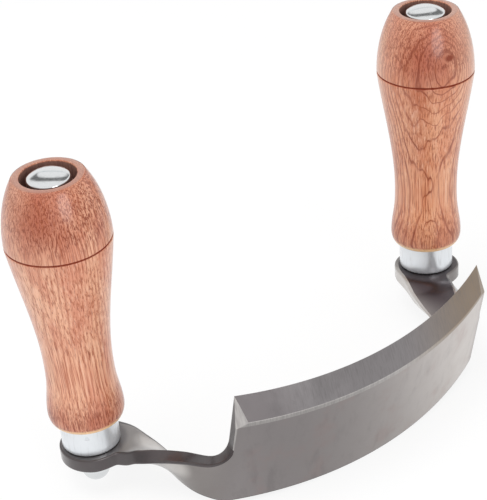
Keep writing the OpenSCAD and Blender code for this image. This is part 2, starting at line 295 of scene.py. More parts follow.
def handle_foot(side):
    """Where the handle's axis meets the eye's upper face."""
    return np.array(MOUNTS[side + "_hand"]["pos_m"]) - GRIP_MIDDLE * handle_axis(side)


def layout_origin():
    """Midway between the feet of the handles."""
    return (handle_foot("left") + handle_foot("right")) / 2


def standing(points):
    """Points of the layout, whose Z runs from the blade's back to its edge, as the tool stands."""
    return points @ np.array([ACROSS, REARWARD, UP]) + layout_origin()


def in_layout(vector):
    return np.array([vector @ ACROSS, vector @ REARWARD, vector @ UP])


def handle_axes(side):
    """Rows: the handle's own X, Y and Z in the standing tool. X is square to the layout's Y."""
    z = handle_axis(side)
    x = unit(np.cross(REARWARD, z))
    return np.array([x, np.cross(z, x), z])


def on_handle(points, side):
    """Points worked out upright on a handle's axis, brought to that handle."""
    return points @ handle_axes(side) + handle_foot(side)


# Meshes

def grid_faces(rows, columns, wrap_rows, wrap_columns):
    """Quads between neighbouring points of a grid whose points are numbered row by row."""
    i = np.arange(rows if wrap_rows else rows - 1)[:, None]
    j = np.arange(columns if wrap_columns else columns - 1)[None, :]
    corners = [(i, j), (i + 1, j), (i + 1, j + 1), (i, j + 1)]
    return np.stack([(a % rows) * columns + b % columns for a, b in corners], axis=-1)


def surface(name, points, wrap_rows=False, face_material=None):
    """A closed surface through a grid of points: its columns always close on themselves, and its
    rows do too or else end in a pole. Doubled points are welded and faces turned outwards."""
    rows, columns = points.shape[:2]
    quads = grid_faces(rows, columns, wrap_rows, True)
    mesh = bpy.data.meshes.new(name)
    mesh.from_pydata(points.reshape(-1, 3).tolist(), [], quads.reshape(-1, 4).tolist())
    if face_material is not None:
        mesh.polygons.foreach_set("material_index", face_material.astype(np.int32).ravel())
    weld(mesh)
    return finished(name, mesh)


def weld(mesh):
    """Merges doubled points, drops the flat faces that leaves, and turns the faces outwards."""
    work = bmesh.new()
    work.from_mesh(mesh)
    bmesh.ops.remove_doubles(work, verts=work.verts, dist=WELD)
    bmesh.ops.dissolve_degenerate(work, edges=work.edges, dist=WELD)
    bmesh.ops.recalc_face_normals(work, faces=work.faces)
    if work.calc_volume(signed=True) < 0:
        bmesh.ops.reverse_faces(work, faces=work.faces)
    work.to_mesh(mesh)
    work.free()


def shaded(mesh):
    """Smooth shading, broken along sharp edges and wherever one material meets another."""
    faces, loops = len(mesh.polygons), len(mesh.loops)
    material, sides, edge_of = np.empty(faces, int), np.empty(faces, int), np.empty(loops, int)
    mesh.polygons.foreach_get("material_index", material)
    mesh.polygons.foreach_get("loop_total", sides)
    mesh.loops.foreach_get("edge_index", edge_of)
    mesh.polygons.foreach_set("use_smooth", np.ones(faces, bool))
    mesh.set_sharp_from_angle(angle=SHARP)
    least, most = np.full(len(mesh.edges), loops), np.full(len(mesh.edges), -1)
    np.minimum.at(least, edge_of, np.repeat(material, sides))
    np.maximum.at(most, edge_of, np.repeat(material, sides))
    sharp = np.empty(len(mesh.edges), bool)
    mesh.edges.foreach_get("use_edge_sharp", sharp)
    mesh.edges.foreach_set("use_edge_sharp", sharp | (least != most))
    mesh.update()


def finished(name, mesh):
    shaded(mesh)
    made = bpy.data.objects.new(name, mesh)
    bpy.context.scene.collection.objects.link(made)
    return made


def piece(made, node, slot, *materials):
    """Dresses a made surface as one piece of the tool, in place of its plain solid."""
    for material in materials:
        made.data.materials.append(material)
    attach(made, BODY)
    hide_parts(node)


def carve(made, cutters):
    """Subtracts closed cutters from a piece, and makes the result its mesh."""
    for cutter in cutters:
        cut = made.modifiers.new(cutter.name, "BOOLEAN")
        cut.object = cutter
        cut.operation = "DIFFERENCE"
        cut.solver = "EXACT"
    depsgraph = bpy.context.evaluated_depsgraph_get()
    mesh = bpy.data.meshes.new_from_object(made.evaluated_get(depsgraph), depsgraph=depsgraph)
    made.modifiers.clear()
    made.data = mesh
    for cutter in cutters:
        bpy.data.objects.remove(cutter)
    shaded(mesh)


def turned(profile, around=192):
    """A surface of revolution: each profile point (radius, height) is carried round a full circle,
    so that x is the radius times the angle's cosine and y the radius times its sine."""
    a = np.linspace(0, 2 * pi, around, endpoint=False)
    radius, height = np.asarray(profile).T[..., None]
    return np.stack([radius * np.cos(a), radius * np.sin(a), height + 0 * a], axis=-1)


def rounded(corners, reach, steps=5):
    """Outline through corners, each replaced by a quadratic curve that starts and ends at its reach
    along the two sides. A reach of 0 keeps the corner sharp. The ends are kept."""
    corners = np.asarray(corners, float)
    u = np.linspace(0, 1, steps)[:, None]
    parts = [corners[:1]]
    for before, corner, after, r in zip(corners, corners[1:], corners[2:], reach):
        if r:
            start, end = (corner + r * unit(other - corner) for other in (before, after))
            parts.append(bend3(u, start, corner, end))
        else:
            parts.append(corner[None])
    parts.append(corners[-1:])
    return np.vstack(parts)


# Forging

# How far the blade's roundings reach from a corner: at the cutting edge, at the bevel's foot and at
# the back, and the first two again down the end cut
KEEN_REACH = 0.03 * MM
FOOT_REACH = 0.28 * MM
BACK_REACH = 0.45 * MM
END_REACH = 0.25 * MM
END_FOOT_REACH = 0.3 * MM


class Forging:
    """The forged plate as a bent sheet. A point of it is named by how far it lies along the middle
    line (s, zero at the blade's end and growing towards the eye), across it (w, zero on the neck's
    middle line) and off the middle of the sheet (n, positive on the blade's concave side, which
    the twist turns up to become the top of the eye)."""

    def __init__(self, p):
        self.p = p
        self.half_t = p.plate_t / 2
        self.mid_r = p.blade_r - self.half_t
        self.axis_y = p.blade_r - p.reach
        self.bevel_h = p.plate_t / tan(p.bevel_angle)
        self.end_angle = p.edge_l / 2 / (p.blade_r - p.plate_t)
        self.eye_r = p.eye_d / 2
        self.axis = in_layout(handle_axis("right"))
        self.foot = in_layout(handle_foot("right") - layout_origin())
        self.lay_out_neck()

    def lay_out_neck(self):
        """The neck's middle line is a cubic curve that leaves along the blade and arrives at the
        middle of the eye, square to the handle."""
        p = self.p
        tangent = np.array([cos(self.end_angle), sin(self.end_angle), 0])
        start = self.on_blade(0.0, 0.0, 0.0)
        heading = np.array([cos(p.neck_turn), sin(p.neck_turn), 0])
        self.arrive = unit(heading - np.array([0, 0, heading @ self.axis / self.axis[2]]))
        offset = np.array([-p.eye_in, -p.eye_ahead, 0])
        offset[2] = -(offset @ self.axis) / self.axis[2]
        self.eye = self.foot + offset - self.half_t * self.axis
        lead, run = start + p.neck_lead * tangent, self.eye - p.neck_run * self.arrive
        self.controls = (start, lead, run, self.eye)
        self.u_table = np.linspace(0, 1, 400)
        steps = np.diff(bend4(self.u_table[:, None], *self.controls), axis=0)
        self.s_table = np.concatenate([[0], np.linalg.norm(steps, axis=1).cumsum()])
        self.neck_l = self.s_table[-1]
        up = across(np.array([0, 0, 1.0]), self.arrive)
        end_w = np.cross(self.arrive, self.axis)
        self.full_twist = atan2(end_w @ np.cross(self.arrive, up), end_w @ up)

    def on_blade(self, s, w, n):
        """A cylinder about the blade's axis: the angle grows with s, the radius shrinks with n."""
        a = self.end_angle + s / self.mid_r
        radius = self.mid_r - n
        height = w + self.p.neck_w / 2 - self.p.back_drop
        return np.stack([radius * np.sin(a), self.axis_y - radius * np.cos(a), height + 0 * a], axis=-1)

    def on_neck(self, s, w, n):
        """The cubic middle line, with the section turned about it by an eased share of the full
        twist, and past the middle of the eye a straight line."""
        p = self.p
        u = np.interp(s, self.s_table, self.u_table)[..., None]
        a, b, c, d = self.controls
        heading = unit(bend3(u, b - a, c - b, d - c))
        point = bend4(u, a, b, c, d) + np.maximum(s - self.neck_l, 0)[..., None] * self.arrive
        turn = self.full_twist * ease((u - p.twist_from) / (p.twist_to - p.twist_from))
        up = across(np.array([0, 0, 1.0]), heading)
        wide = np.cos(turn) * up + np.sin(turn) * np.cross(heading, up)
        return self.flattened(point + w[..., None] * wide + n[..., None] * np.cross(wide, heading), n)

    def flattened(self, points, n):
        """Presses the eye, and a little of the neck round it, into the plane square to the handle."""
        off = points - self.eye
        height = off @ self.axis
        radius = np.linalg.norm(off - height[..., None] * self.axis, axis=-1)
        press = 1 - ease((radius - self.eye_r) / (0.5 * self.eye_r))
        return points + (press * (n - height))[..., None] * self.axis

    def place(self, s, w, n):
        """Blade where s is negative, neck where it isn't."""
        s, w, n = (np.array(v) for v in np.broadcast_arrays(s, w, n))
        return np.where(s[..., None] < 0, self.on_blade(np.minimum(s, 0), w, n), self.on_neck(s, w, n))

    def half_width(self, s, neck):
        """Half width on one side: the neck's curve or the eye's circle, whichever is wider."""
        ahead = self.neck_l - s
        circle = np.sqrt(np.maximum(self.eye_r ** 2 - ahead ** 2, 0))
        blend = 1.2 * MM * np.clip(ahead / self.eye_r, 0, 1)
        joined = larger(neck, circle, blend)
        return np.where(ahead > 1.3 * self.eye_r, neck, np.where(ahead > 0, joined, circle))

    def outlines(self):
        """Stations from the middle of the blade to the far tip of the eye, as three lines of (s, w):
        the inner face's upper side, the outer face's upper side and the common lower side. The
        lines fan out over the end of the blade, so that the upper side can turn down the end cut."""
        p = self.p
        top = p.blade_w - p.neck_w / 2
        foot = top - self.bevel_h
        root = p.neck_w / 2 + p.neck_fillet
        half_l = self.end_angle * self.mid_r
        fan = 18 * MM
        plain = np.linspace(-half_l, -fan, 44)[:-1]
        fan_low = np.linspace(-fan, 0, 56)[:-1]
        edge = np.linspace(-fan, 0, 29)[:-1]
        down = np.linspace(0, 1, END_STEPS)
        fillet = p.neck_fillet * (1 - np.cos(np.linspace(0, pi / 2, 22)[1:]))
        eye_from = radians(14)
        start = self.neck_l - self.eye_r * cos(eye_from)
        neck = np.linspace(p.neck_fillet, start, 56)[1:-1]
        eye = self.neck_l - self.eye_r * np.cos(np.linspace(eye_from, pi, 72))
        s = np.concatenate([fillet, neck, eye])
        u = np.interp(s, self.s_table, self.u_table)
        from_start = np.linalg.norm(bend4(u[:, None], *self.controls) - self.controls[0], axis=1)
        short = np.maximum(p.neck_fillet - from_start, 0)
        rise = p.neck_fillet - np.sqrt(p.neck_fillet ** 2 - short ** 2)
        front = self.half_width(s, bend3(u, p.neck_w / 2, p.neck_front, p.neck_eye) + rise * (short > 0))
        back = self.half_width(s, bend3(u, p.neck_w / 2, p.neck_back, self.eye_r))
        high_s = np.concatenate([plain, edge, 0 * down, s])
        inner = np.concatenate([np.full(len(plain) + len(edge), top), top + (root - top) * down, front])
        outer = np.concatenate([np.full(len(plain) + len(edge), foot), foot + (root - foot) * down, front])
        low_s = np.concatenate([plain, fan_low, s])
        low = np.concatenate([np.full(len(plain) + len(fan_low), -p.neck_w / 2), -back])
        self.corner = len(plain) + len(edge)
        return np.stack([high_s, inner], -1), np.stack([high_s, outer], -1), np.stack([low_s, low], -1)

    def inward(self, high, low):
        """Mitred inward normals of an outline that runs up to the tip along high and back along low:
        at each point the sum of its two sides' normals, over one plus their cosine."""
        line = np.vstack([high, low[-2::-1]])
        step = unit(np.diff(line, axis=0))
        normal = np.stack([step[:, 1], -step[:, 0]], -1)
        before, after = np.vstack([normal[:1], normal]), np.vstack([normal, normal[-1:]])
        mitre = (before + after) / (1 + dot(before, after))
        return mitre[:len(high)], mitre[:len(high) - 2:-1]

    def columns(self):
        """The closed section at every station, as (s, w, n): two faces, the upper side or bevel, the
        lower side, and a quadratic rounding at each of their four corners."""
        inner, outer, low = self.outlines()
        in_high, in_low = self.inward(inner, low)
        out_high, out_low = self.inward(outer, low)
        station = np.arange(len(inner))
        on_neck = ease((inner[:, 0] - 1 * MM) / (8 * MM))[:, None]
        on_end = (station > self.corner)[:, None]
        soft = self.p.soft_edge
        edge_r = np.where(on_end, END_REACH, KEEN_REACH) * (1 - on_neck) + soft * on_neck
        foot_r = np.where(on_end, END_FOOT_REACH, FOOT_REACH) * (1 - on_neck) + soft * on_neck
        back_r = BACK_REACH * (1 - on_neck) + soft * on_neck
        corners = ((inner, edge_r, in_high, self.half_t), (outer, foot_r, out_high, -self.half_t),
                   (low, back_r, out_low, -self.half_t), (low, back_r, in_low, self.half_t))
        corner = [self.solid(line, n) for line, r, normal, n in corners]
        inset = [self.solid(line + r * normal, n) for line, r, normal, n in corners]
        side_in = corner[0] + edge_r * unit(corner[1] - corner[0])
        side_out = corner[1] + foot_r * unit(corner[0] - corner[1])
        low_out = corner[2] + back_r * unit(corner[3] - corner[2])
        low_in = corner[3] + back_r * unit(corner[2] - corner[3])
        parts = [
            self.straight(inset[3], inset[0], 30),
            self.curved(inset[0], corner[0], side_in),
            self.straight(side_in, side_out, 14),
            self.curved(side_out, corner[1], inset[1]),
            self.straight(inset[1], inset[2], 30),
            self.curved(inset[2], corner[2], low_out),
            self.straight(low_out, low_in, 14),
            self.curved(low_in, corner[3], inset[3]),
        ]
        widths = [part.shape[1] for part in parts]
        self.bevel_columns = (sum(widths[:2]) - 1, sum(widths[:3]))
        self.foot_columns = (sum(widths[:3]), sum(widths[:4]))
        self.side_columns = (sum(widths[:1]), sum(widths[:4]))
        self.low_columns = (sum(widths[:5]), sum(widths))
        return np.concatenate(parts, axis=1)

    @staticmethod
    def solid(line, n):
        return np.column_stack([line, np.full(len(line), n)])

    @staticmethod
    def straight(a, b, steps):
        f = np.linspace(0, 1, steps)[None, 1:-1, None]
        return a[:, None] + f * (b - a)[:, None]

    @staticmethod
    def curved(a, corner, b):
        return bend3(np.linspace(0, 1, 6)[None, :, None], a[:, None], corner[:, None], b[:, None])

    def hammered(self, points, s):
        """Waves of a few wavelengths, under a tenth of a millimetre deep, that hand forging leaves
        on the necks and eyes and grinding takes off the blade."""
        x, y, z = np.moveaxis(points, -1, 0) / MM
        waves = np.sin(0.61 * x + 0.23 * y + 1.3) * np.sin(0.47 * z - 0.52 * y)
        waves += 0.6 * np.sin(0.9 * y + 0.7 * z + 2.1)
        depth = 0.05 * MM * ease(s / (12 * MM)) * (1 - ease((s - self.neck_l + 14 * MM) / (6 * MM)))
        return points + (depth * waves)[..., None] * np.array([0.35, 0.35, 0.87])

    def grid(self):
        """Both halves: the right one as worked out, the left one its mirror image, in one grid."""
        s, w, n = np.moveaxis(self.columns(), -1, 0)
        right = self.hammered(self.place(s, w, n), s)
        left = right[:0:-1] * np.array([-1, 1, 1])
        return standing(np.vstack([left, right]))

    def ground_faces(self, rows, columns):
        """1 for a face of the bevel, 2 for the eased edge at its foot, 3 for the sides of the plate,
        which keep the forge scale, and 0 for its two broad faces."""
        half = (rows - 1) // 2
        i, j = np.arange(rows - 1)[:, None], np.arange(columns)[None, :]
        station = abs(i + 0.5 - half)
        on_blade = station < self.corner
        on_end = (station > self.corner) & (station < self.corner + END_STEPS)
        bevel, foot, side, low_side = ((j >= first) & (j < last) for first, last in (
            self.bevel_columns, self.foot_columns, self.side_columns, self.low_columns))
        return on_blade * (bevel + 2 * foot) + np.where(on_end & foot, 2, 3 * (~on_blade & side | low_side))

    def corner_block(self, side):
        """Block that grinds the facet off one corner of the bevel."""
        p = self.p
        size = p.edge_l / 4
        facet_line = Vector((p.corner_l, p.plate_t, self.bevel_h))
        turn = (Matrix.Translation((0, self.axis_y, 0))
                @ Matrix.Rotation(self.end_angle, 4, "Z")
                @ Matrix.Translation((-p.corner_l, -p.blade_r, p.blade_w - p.back_drop - self.bevel_h))
                @ Matrix.Rotation(p.corner_angle, 4, facet_line)
                @ Matrix.Rotation(pi / 2 - p.bevel_angle, 4, "X"))
        x, y, z = np.meshgrid([-size / 2, size / 2], [-size / 2, size / 2], [0, size], indexing="ij")
        corners = np.stack([x, y, z, np.ones_like(x)], -1).reshape(-1, 4) @ np.array(turn).T
        corners = standing(corners[:, :3] * np.array([side, 1, 1]))
        faces = [(0, 1, 3, 2), (4, 6, 7, 5), (0, 4, 5, 1), (2, 3, 7, 6), (0, 2, 6, 4), (1, 5, 7, 3)]
        return self.cutter("corner_block", corners, faces, 2)

    def eye_drill(self, side):
        """Cylinder down the handle's axis through the eye."""
        r, reach = self.p.eye_hole / 2, 2 * self.p.plate_t
        points = on_handle(turned([(r, -reach), (r, reach)], 96), side).reshape(-1, 3)
        sides = grid_faces(2, 96, False, True).reshape(-1, 4).tolist()
        return self.cutter("eye_drill", points, sides + [list(range(96)), list(range(96, 192))], 0)

    @staticmethod
    def cutter(name, points, faces, material):
        mesh = bpy.data.meshes.new(name)
        mesh.from_pydata(points.tolist(), [], faces)
        mesh.polygons.foreach_set("material_index", np.full(len(mesh.polygons), material, np.int32))
        weld(mesh)
        made = bpy.data.objects.new(name, mesh)
        bpy.context.scene.collection.objects.link(made)
        return made


# Handles

def grip_profile(h, f):
    """Closed outline (radius, height) of the grip: tenon, shoulder, a bulge over the ferrule, a lean
    hollow to the waist, a full swell to the groove, an elliptic crown, the rim and the recess."""
    tenon_r = f.ferrule_d / 2 - f.ferrule_wall - h.tenon_play / 2
    shoulder_r = f.ferrule_d / 2 + h.shoulder
    flare_r, waist_r, grip_r, rim_r = h.flare_d / 2, h.waist_d / 2, h.grip_d / 2, h.rim_d / 2
    crown_h = (h.grip_l - h.swell_z) / sqrt(1 - (rim_r / grip_r) ** 2)
    half_groove = h.groove_w / 2
    t = np.linspace(0, 1, 48)
    quarter = t * pi / 2
    bulge = np.stack([shoulder_r + (flare_r - shoulder_r) * np.sin(quarter),
                      h.flare_z - (h.flare_z - f.ferrule_l) * np.cos(quarter)], -1)
    taper = np.stack([waist_r + (flare_r - waist_r) * (1 - ease(t)) ** 1.7,
                      h.flare_z + (h.waist_z - h.flare_z) * t], -1)
    full = grip_r - 1.03 * (grip_r - waist_r) / 3
    belly = np.stack([bend4(t, waist_r, waist_r, full, grip_r),
                      h.waist_z + (h.swell_z - half_groove - h.waist_z) * t], -1)
    rise = half_groove + (h.grip_l - h.swell_z - half_groove) * np.sin(quarter)
    crown = np.stack([grip_r * np.sqrt(1 - (rise / crown_h) ** 2), h.swell_z + rise], -1)
    bottom, floor, bore_r, recess_r = f.ferrule_wall, h.grip_l - h.recess_depth, h.bore / 2, h.recess_d / 2
    soft = 0.3 * MM
    foot = rounded([(bore_r, bottom), (tenon_r, bottom), (tenon_r, f.ferrule_l), (shoulder_r, f.ferrule_l),
                    bulge[6]], [soft, 0, soft])
    groove = rounded([belly[-2], (grip_r, h.swell_z - half_groove), (grip_r - h.groove_depth, h.swell_z),
                      (grip_r, h.swell_z + half_groove), crown[3]], [0.25 * MM, 0.15 * MM, 0.25 * MM], 7)
    rim = rounded([crown[-6], (rim_r, h.grip_l), (recess_r, h.grip_l), (recess_r, floor), (bore_r, floor),
                   (bore_r, floor - h.grip_l / 20)], [1.1 * MM, 0.45 * MM, 0, 0], 9)
    return np.vstack([foot, bulge[7:], taper[1:], belly[1:-2], groove[1:], crown[4:-6], rim[1:-1]])


def ferrule_grid(f, staked):
    """Drawn cup: outside wall, rounded lower corner, floor with the bolt's hole and inside wall. The
    stake is a three-sided dent that deepens away from its sides, with a low burr round it."""
    r, wall, top, hole = f.ferrule_d / 2, f.ferrule_wall, f.ferrule_l, f.bolt_d / 2 + 0.2 * MM
    inner = r - wall
    levels = np.linspace(0.32, 0.97, 40)[:, None] * np.array([[0, top]]) + np.array([[r, 0]])
    outside = rounded([(hole, 0), (r, 0), (r, top), (inner, top)], [1.1 * wall, 0.18 * MM], 9)
    inside = rounded([(inner, top), (inner, wall), (hole, wall), (hole, 0)], [0.5 * wall, 0], 5)
    split = np.searchsorted(outside[:, 1], levels[0, 1])
    profile = np.vstack([outside[:split], levels, outside[split:], inside[1:-1]])
    grid = turned(profile, 480)
    if staked:
        a = np.arctan2(grid[..., 1], grid[..., 0])
        radius = np.hypot(grid[..., 0], grid[..., 1])
        across_mark = (a - STAKE_ANGLE) * r
        along_mark = grid[..., 2] - STAKE_HEIGHT
        sides = [across_mark * cos(k) + along_mark * sin(k) for k in map(radians, (-90, 30, 150))]
        inside_by = f.stake_w * 0.29 - np.max(sides, axis=0)
        burr = 0.04 * MM * np.exp(-(inside_by / (0.35 * MM)) ** 2)
        dent = f.stake_depth * ease(inside_by / (0.3 * f.stake_w)) - burr
        outer = radius > r - wall / 2
        grid[..., :2] *= (1 - dent * outer / radius)[..., None]
    return grid


STAKE_ANGLE = radians(-130)
STAKE_HEIGHT = 7.3 * MM


# Fastenings

def threaded(grid, low, high, r, pitch, inward):
    """Cuts a thread into the part of a turned grid that lies at radius r between two heights: the
    radius falls by a triangle wave of height over pitch less the turn, and fades at both ends."""
    x, y, z = np.moveaxis(grid, -1, 0)
    radius = np.hypot(x, y)
    phase = (z / pitch - np.arctan2(y, x) / (2 * pi)) % 1
    depth = 0.55 * pitch * np.abs(2 * phase - 1)
    fade = ease((z - low) / pitch) * ease((high - z) / pitch)
    on = (np.abs(radius - r) < WELD) * fade
    grid = grid.copy()
    grid[..., :2] *= (1 + inward * on * depth / np.maximum(radius, WELD))[..., None]
    return grid


def squared(grid, low, high, half):
    """Turns the round shank between two heights into a square of that half width, with its corners
    a little rounded: the radius is the half width over the larger of sine and cosine."""
    x, y, z = np.moveaxis(grid, -1, 0)
    a = np.arctan2(y, x)
    square = np.minimum(half / np.maximum(np.abs(np.cos(a)), np.abs(np.sin(a))), 1.36 * half)
    radius = np.hypot(x, y)
    on = (z > low) & (z < high) & (np.abs(radius - half) < WELD)
    grid = grid.copy()
    grid[..., :2] *= np.where(on, square / np.maximum(radius, WELD), 1)[..., None]
    return grid


def bolt_grid(f, h, plate_t):
    """Round head with a shallow spherical dome, a square neck, the shank and its thread."""
    seat = h.grip_l - h.recess_depth
    nut_top = -plate_t - f.washer_t
    tip = nut_top - f.thread_depth + f.end_play
    head_r, shank_r, sliver = f.head_d / 2, f.bolt_d / 2, 0.002 * MM
    cap_r = (head_r ** 2 + f.head_dome ** 2) / 2 / f.head_dome
    a = np.linspace(0, np.arcsin(head_r / cap_r), 40)
    top = seat + f.head_edge + f.head_dome
    dome = np.stack([cap_r * np.sin(a), top - cap_r * (1 - np.cos(a))], -1)
    edge = rounded([dome[-4], (head_r, seat + f.head_edge), (head_r, seat), (shank_r, seat)],
                   [0.7 * MM, 0.3 * MM], 7)
    square_low = seat - f.square_l
    neck = np.array([(shank_r, seat - sliver), (shank_r, square_low + sliver), (shank_r, square_low)])
    thread_top = tip + f.thread_l
    turns = np.linspace(thread_top, tip + 0.4 * MM, 220)
    shank = np.column_stack([np.full(220, shank_r), turns])
    end = np.array([(shank_r - 0.6 * MM, tip), (0, tip)])
    grid = turned(np.vstack([dome[:-4], edge, neck, shank, end]), 120)
    grid = squared(grid, square_low, seat, shank_r)
    return threaded(grid, tip, thread_top, shank_r, f.pitch, -1)


def washer_grid(f, h, plate_t):
    """Spring washer: a square section swept round almost a full turn, with slanting cut ends."""
    inner, outer = h.bore / 2, f.washer_d / 2
    low, high = -plate_t - f.washer_t, -plate_t
    section = rounded([(inner, (low + high) / 2), (inner, high), (outer, high), (outer, low), (inner, low),
                       (inner, (low + high) / 2)], [0.15 * MM] * 4, 4)[:-1]
    radius, height = section.T
    middle = np.array([(inner + outer) / 2, (low + high) / 2])
    gap = 0.6 * MM / middle[0]
    turn = np.linspace(gap / 2, 2 * pi - gap / 2, 140)[:, None]
    slant = (height - middle[1]) * tan(radians(30)) / middle[0]
    fade = np.abs(np.linspace(-1, 1, 140)[:, None]) ** 6
    a = turn - slant * fade
    ring = np.stack([radius * np.cos(a), radius * np.sin(a), height + 0 * a], -1)
    cap = [np.broadcast_to(ring[k].mean(0), ring[:1].shape) for k in (0, -1)]
    return np.vstack([cap[0], ring, cap[1]])


def nut_grid(f, plate_t):
    """Hexagon whose corners are turned off to a cone, a ball-shaped dome and a blind thread. At each
    angle the hexagon's radius is its half width over the cosine of the angle from the flat."""
    a = np.linspace(0, 2 * pi, 240, endpoint=False)
    flat, corner = f.nut_af / 2, f.nut_af / 2 / cos(pi / 6)
    hexagon = flat / np.cos((a + pi / 6) % (pi / 3) - pi / 6)
    chamfer = f.nut_chamfer * (hexagon - flat) / (corner - flat)
    dome_r, thread_r, depth = flat - f.dome_step, f.bolt_d / 2 + 0.1 * MM, f.thread_depth

    def ring(radius, height):
        radius, height = np.broadcast_to(radius, a.shape), np.broadcast_to(height, a.shape)
        return np.stack([radius * np.cos(a), radius * np.sin(a), height], -1)

    outside = [ring(thread_r + 0.5 * MM, 0), ring(flat, 0)]
    outside += [ring(flat + (hexagon - flat) * k, -chamfer * k) for k in (0.5, 1)]
    outside += [ring(hexagon, -chamfer - (f.nut_hex - 2 * chamfer) * k) for k in np.linspace(0.1, 1, 10)]
    outside += [ring(flat + (hexagon - flat) * k, -f.nut_hex + chamfer * k) for k in (0.5, 0)]
    fillet = 0.25 * MM
    for k in (0.3, 0.8, 1.3):
        outside.append(ring(dome_r + fillet * (1 - sin(k)), -f.nut_hex - fillet * (1 - cos(k))))
    dome = [ring(dome_r * cos(k), -f.nut_hex - dome_r * sin(k)) for k in np.linspace(0.06, pi / 2, 40)]
    thread = [ring(thread_r, -k) for k in np.linspace(depth, 0.5 * MM, 120)]
    grid = np.stack([ring(0, -depth), *thread, *outside, *dome])
    grid = threaded(grid, -depth, -0.5 * MM, thread_r, f.pitch, 1)
    return grid + np.array([0, 0, -plate_t - f.washer_t])


# Materials

# Setting that makes a node's range a smooth step
SMOOTH = {"interpolation_type": "SMOOTHSTEP"}


def add(tree, kind, *ordered, **named):
    """Adds one node and gives the first output that it shows. A name in small letters is a setting,
    and one with a capital an input. Values without a name go to the inputs that the node shows, in
    order. An input takes a value, a linear RGB colour or the socket that feeds it."""
    node = tree.nodes.new("ShaderNode" + kind)
    for name in filter(str.islower, named):
        setattr(node, name, named[name])
    inputs = list(zip([socket for socket in node.inputs if socket.enabled], ordered))
    inputs += [(node.inputs[name.replace("_", " ")], named[name]) for name in named if not name.islower()]
    for socket, value in inputs:
        if isinstance(value, bpy.types.NodeSocket):
            tree.links.new(value, socket)
        else:
            socket.default_value = (*value, 1) if socket.type == "RGBA" else value
    return next((socket for socket in node.outputs if socket.enabled), None)


def layered(tree, base, layers):
    """Lays colours over a base in their order, each by its own share."""
    for share, colour in layers:
        base = add(tree, "Mix", share, base, colour, data_type="RGBA")
    return base


def blank(name):
    """A material of that name, with an empty tree."""
    material = bpy.data.materials.get(name) or bpy.data.materials.new(name)
    material.use_nodes = True
    material.node_tree.nodes.clear()
    return material, material.node_tree


def millimetres(tree):
    """Object coordinates in millimetres."""
    place = add(tree, "TexCoord").node.outputs["Object"]
    return add(tree, "VectorMath", place, Scale=1 / MM, operation="SCALE")


def facing(tree, direction):
    """Cosine of the angle between the surface's normal and a direction."""
    normal = add(tree, "NewGeometry").node.outputs["Normal"]
    return add(tree, "VectorMath", normal, tuple(direction), operation="DOT_PRODUCT")


def on_grip(tree, side, lean=(0.0, 0.0)):
    """Object coordinates carried to a handle's own axes, in millimetres, with the grain leaned a
    little off the axis: Z then runs along the grain."""
    axes = Matrix([[*row] for row in handle_axes(side)])
    turn = (Matrix.Rotation(lean[0], 3, "X") @ Matrix.Rotation(lean[1], 3, "Y") @ axes).to_euler()
    place = add(tree, "TexCoord").node.outputs["Object"]
    centred = add(tree, "VectorMath", place, tuple(handle_foot(side)), operation="SUBTRACT")
    turned_to = add(tree, "Mapping", centred, Rotation=tuple(turn))
    return add(tree, "VectorMath", turned_to, Scale=1 / MM, operation="SCALE")


def from_axis(tree, place):
    """Distance from a grip's axis."""
    return add(tree, "VectorMath", add(tree, "Mapping", place, Scale=(1, 1, 0)), operation="LENGTH")


def bell(tree, place, turn, height, wide, tall, most=1.0):
    """A bell curve of the distance from a level line that starts at a grip's axis: at its most on the
    line, and small past its reach, which is set across and along the grip."""
    turned_to = add(tree, "Mapping", place, (0, 0, -height), (0, 0, -turn - pi / 2))
    in_reaches = add(tree, "Mapping", turned_to, Scale=(1 / wide, 0, 1 / tall))
    away = add(tree, "VectorMath", in_reaches, operation="LENGTH")
    squared_away = add(tree, "Math", away, 2.0, operation="POWER")
    exponent = add(tree, "Math", squared_away, -0.5, operation="MULTIPLY")
    curve = add(tree, "Math", exponent, operation="EXPONENT")
    outward = add(tree, "SeparateXYZ", turned_to).node.outputs["Y"]
    on_this_side = add(tree, "MapRange", outward, 0.0, -6.0, 0.0, most, **SMOOTH)
    return add(tree, "Math", curve, on_this_side, operation="MULTIPLY")


# Where the right grip's knot comes to the surface: a turn about the grip's axis, and mm above the eye
KNOT = (radians(-101), 88.5)

# How the two pieces of wood differ. Late wood lies in layers that face one way, a gap apart in mm,
# and sway by as many mm. Its lines have a least and a most strength and a shade beside them. The
# foot has a share of cut pores and of redder dyed wood. The painted shade, a darker red patch on the
# crown's middle where it faces the front, and each patch of painted sheen, a paler patch of painted
# light on the crown's sides, have a turn about the grip's axis, a height above the eye in mm and a share.
WOOD = {
    "left": SimpleNamespace(
        lean=(radians(1), radians(2)), layers_face=radians(-12), layer_gap=1.4, sway=5.0,
        least=0.1, most=0.5, shade=0.15, foot=0.95,
        painted_shade=(radians(-143), 92, 0.72), painted_sheen=((radians(-192), 87, 0.15),)),
    "right": SimpleNamespace(
        lean=(radians(-1), radians(1)), layers_face=radians(-130), layer_gap=1.8, sway=10.0,
        least=0.2, most=0.75, shade=0.3, foot=0.65,
        painted_shade=(radians(-132), 88, 0.75), painted_sheen=((radians(-55), 86, 0.45), (radians(-210), 84, 0.3))),
}


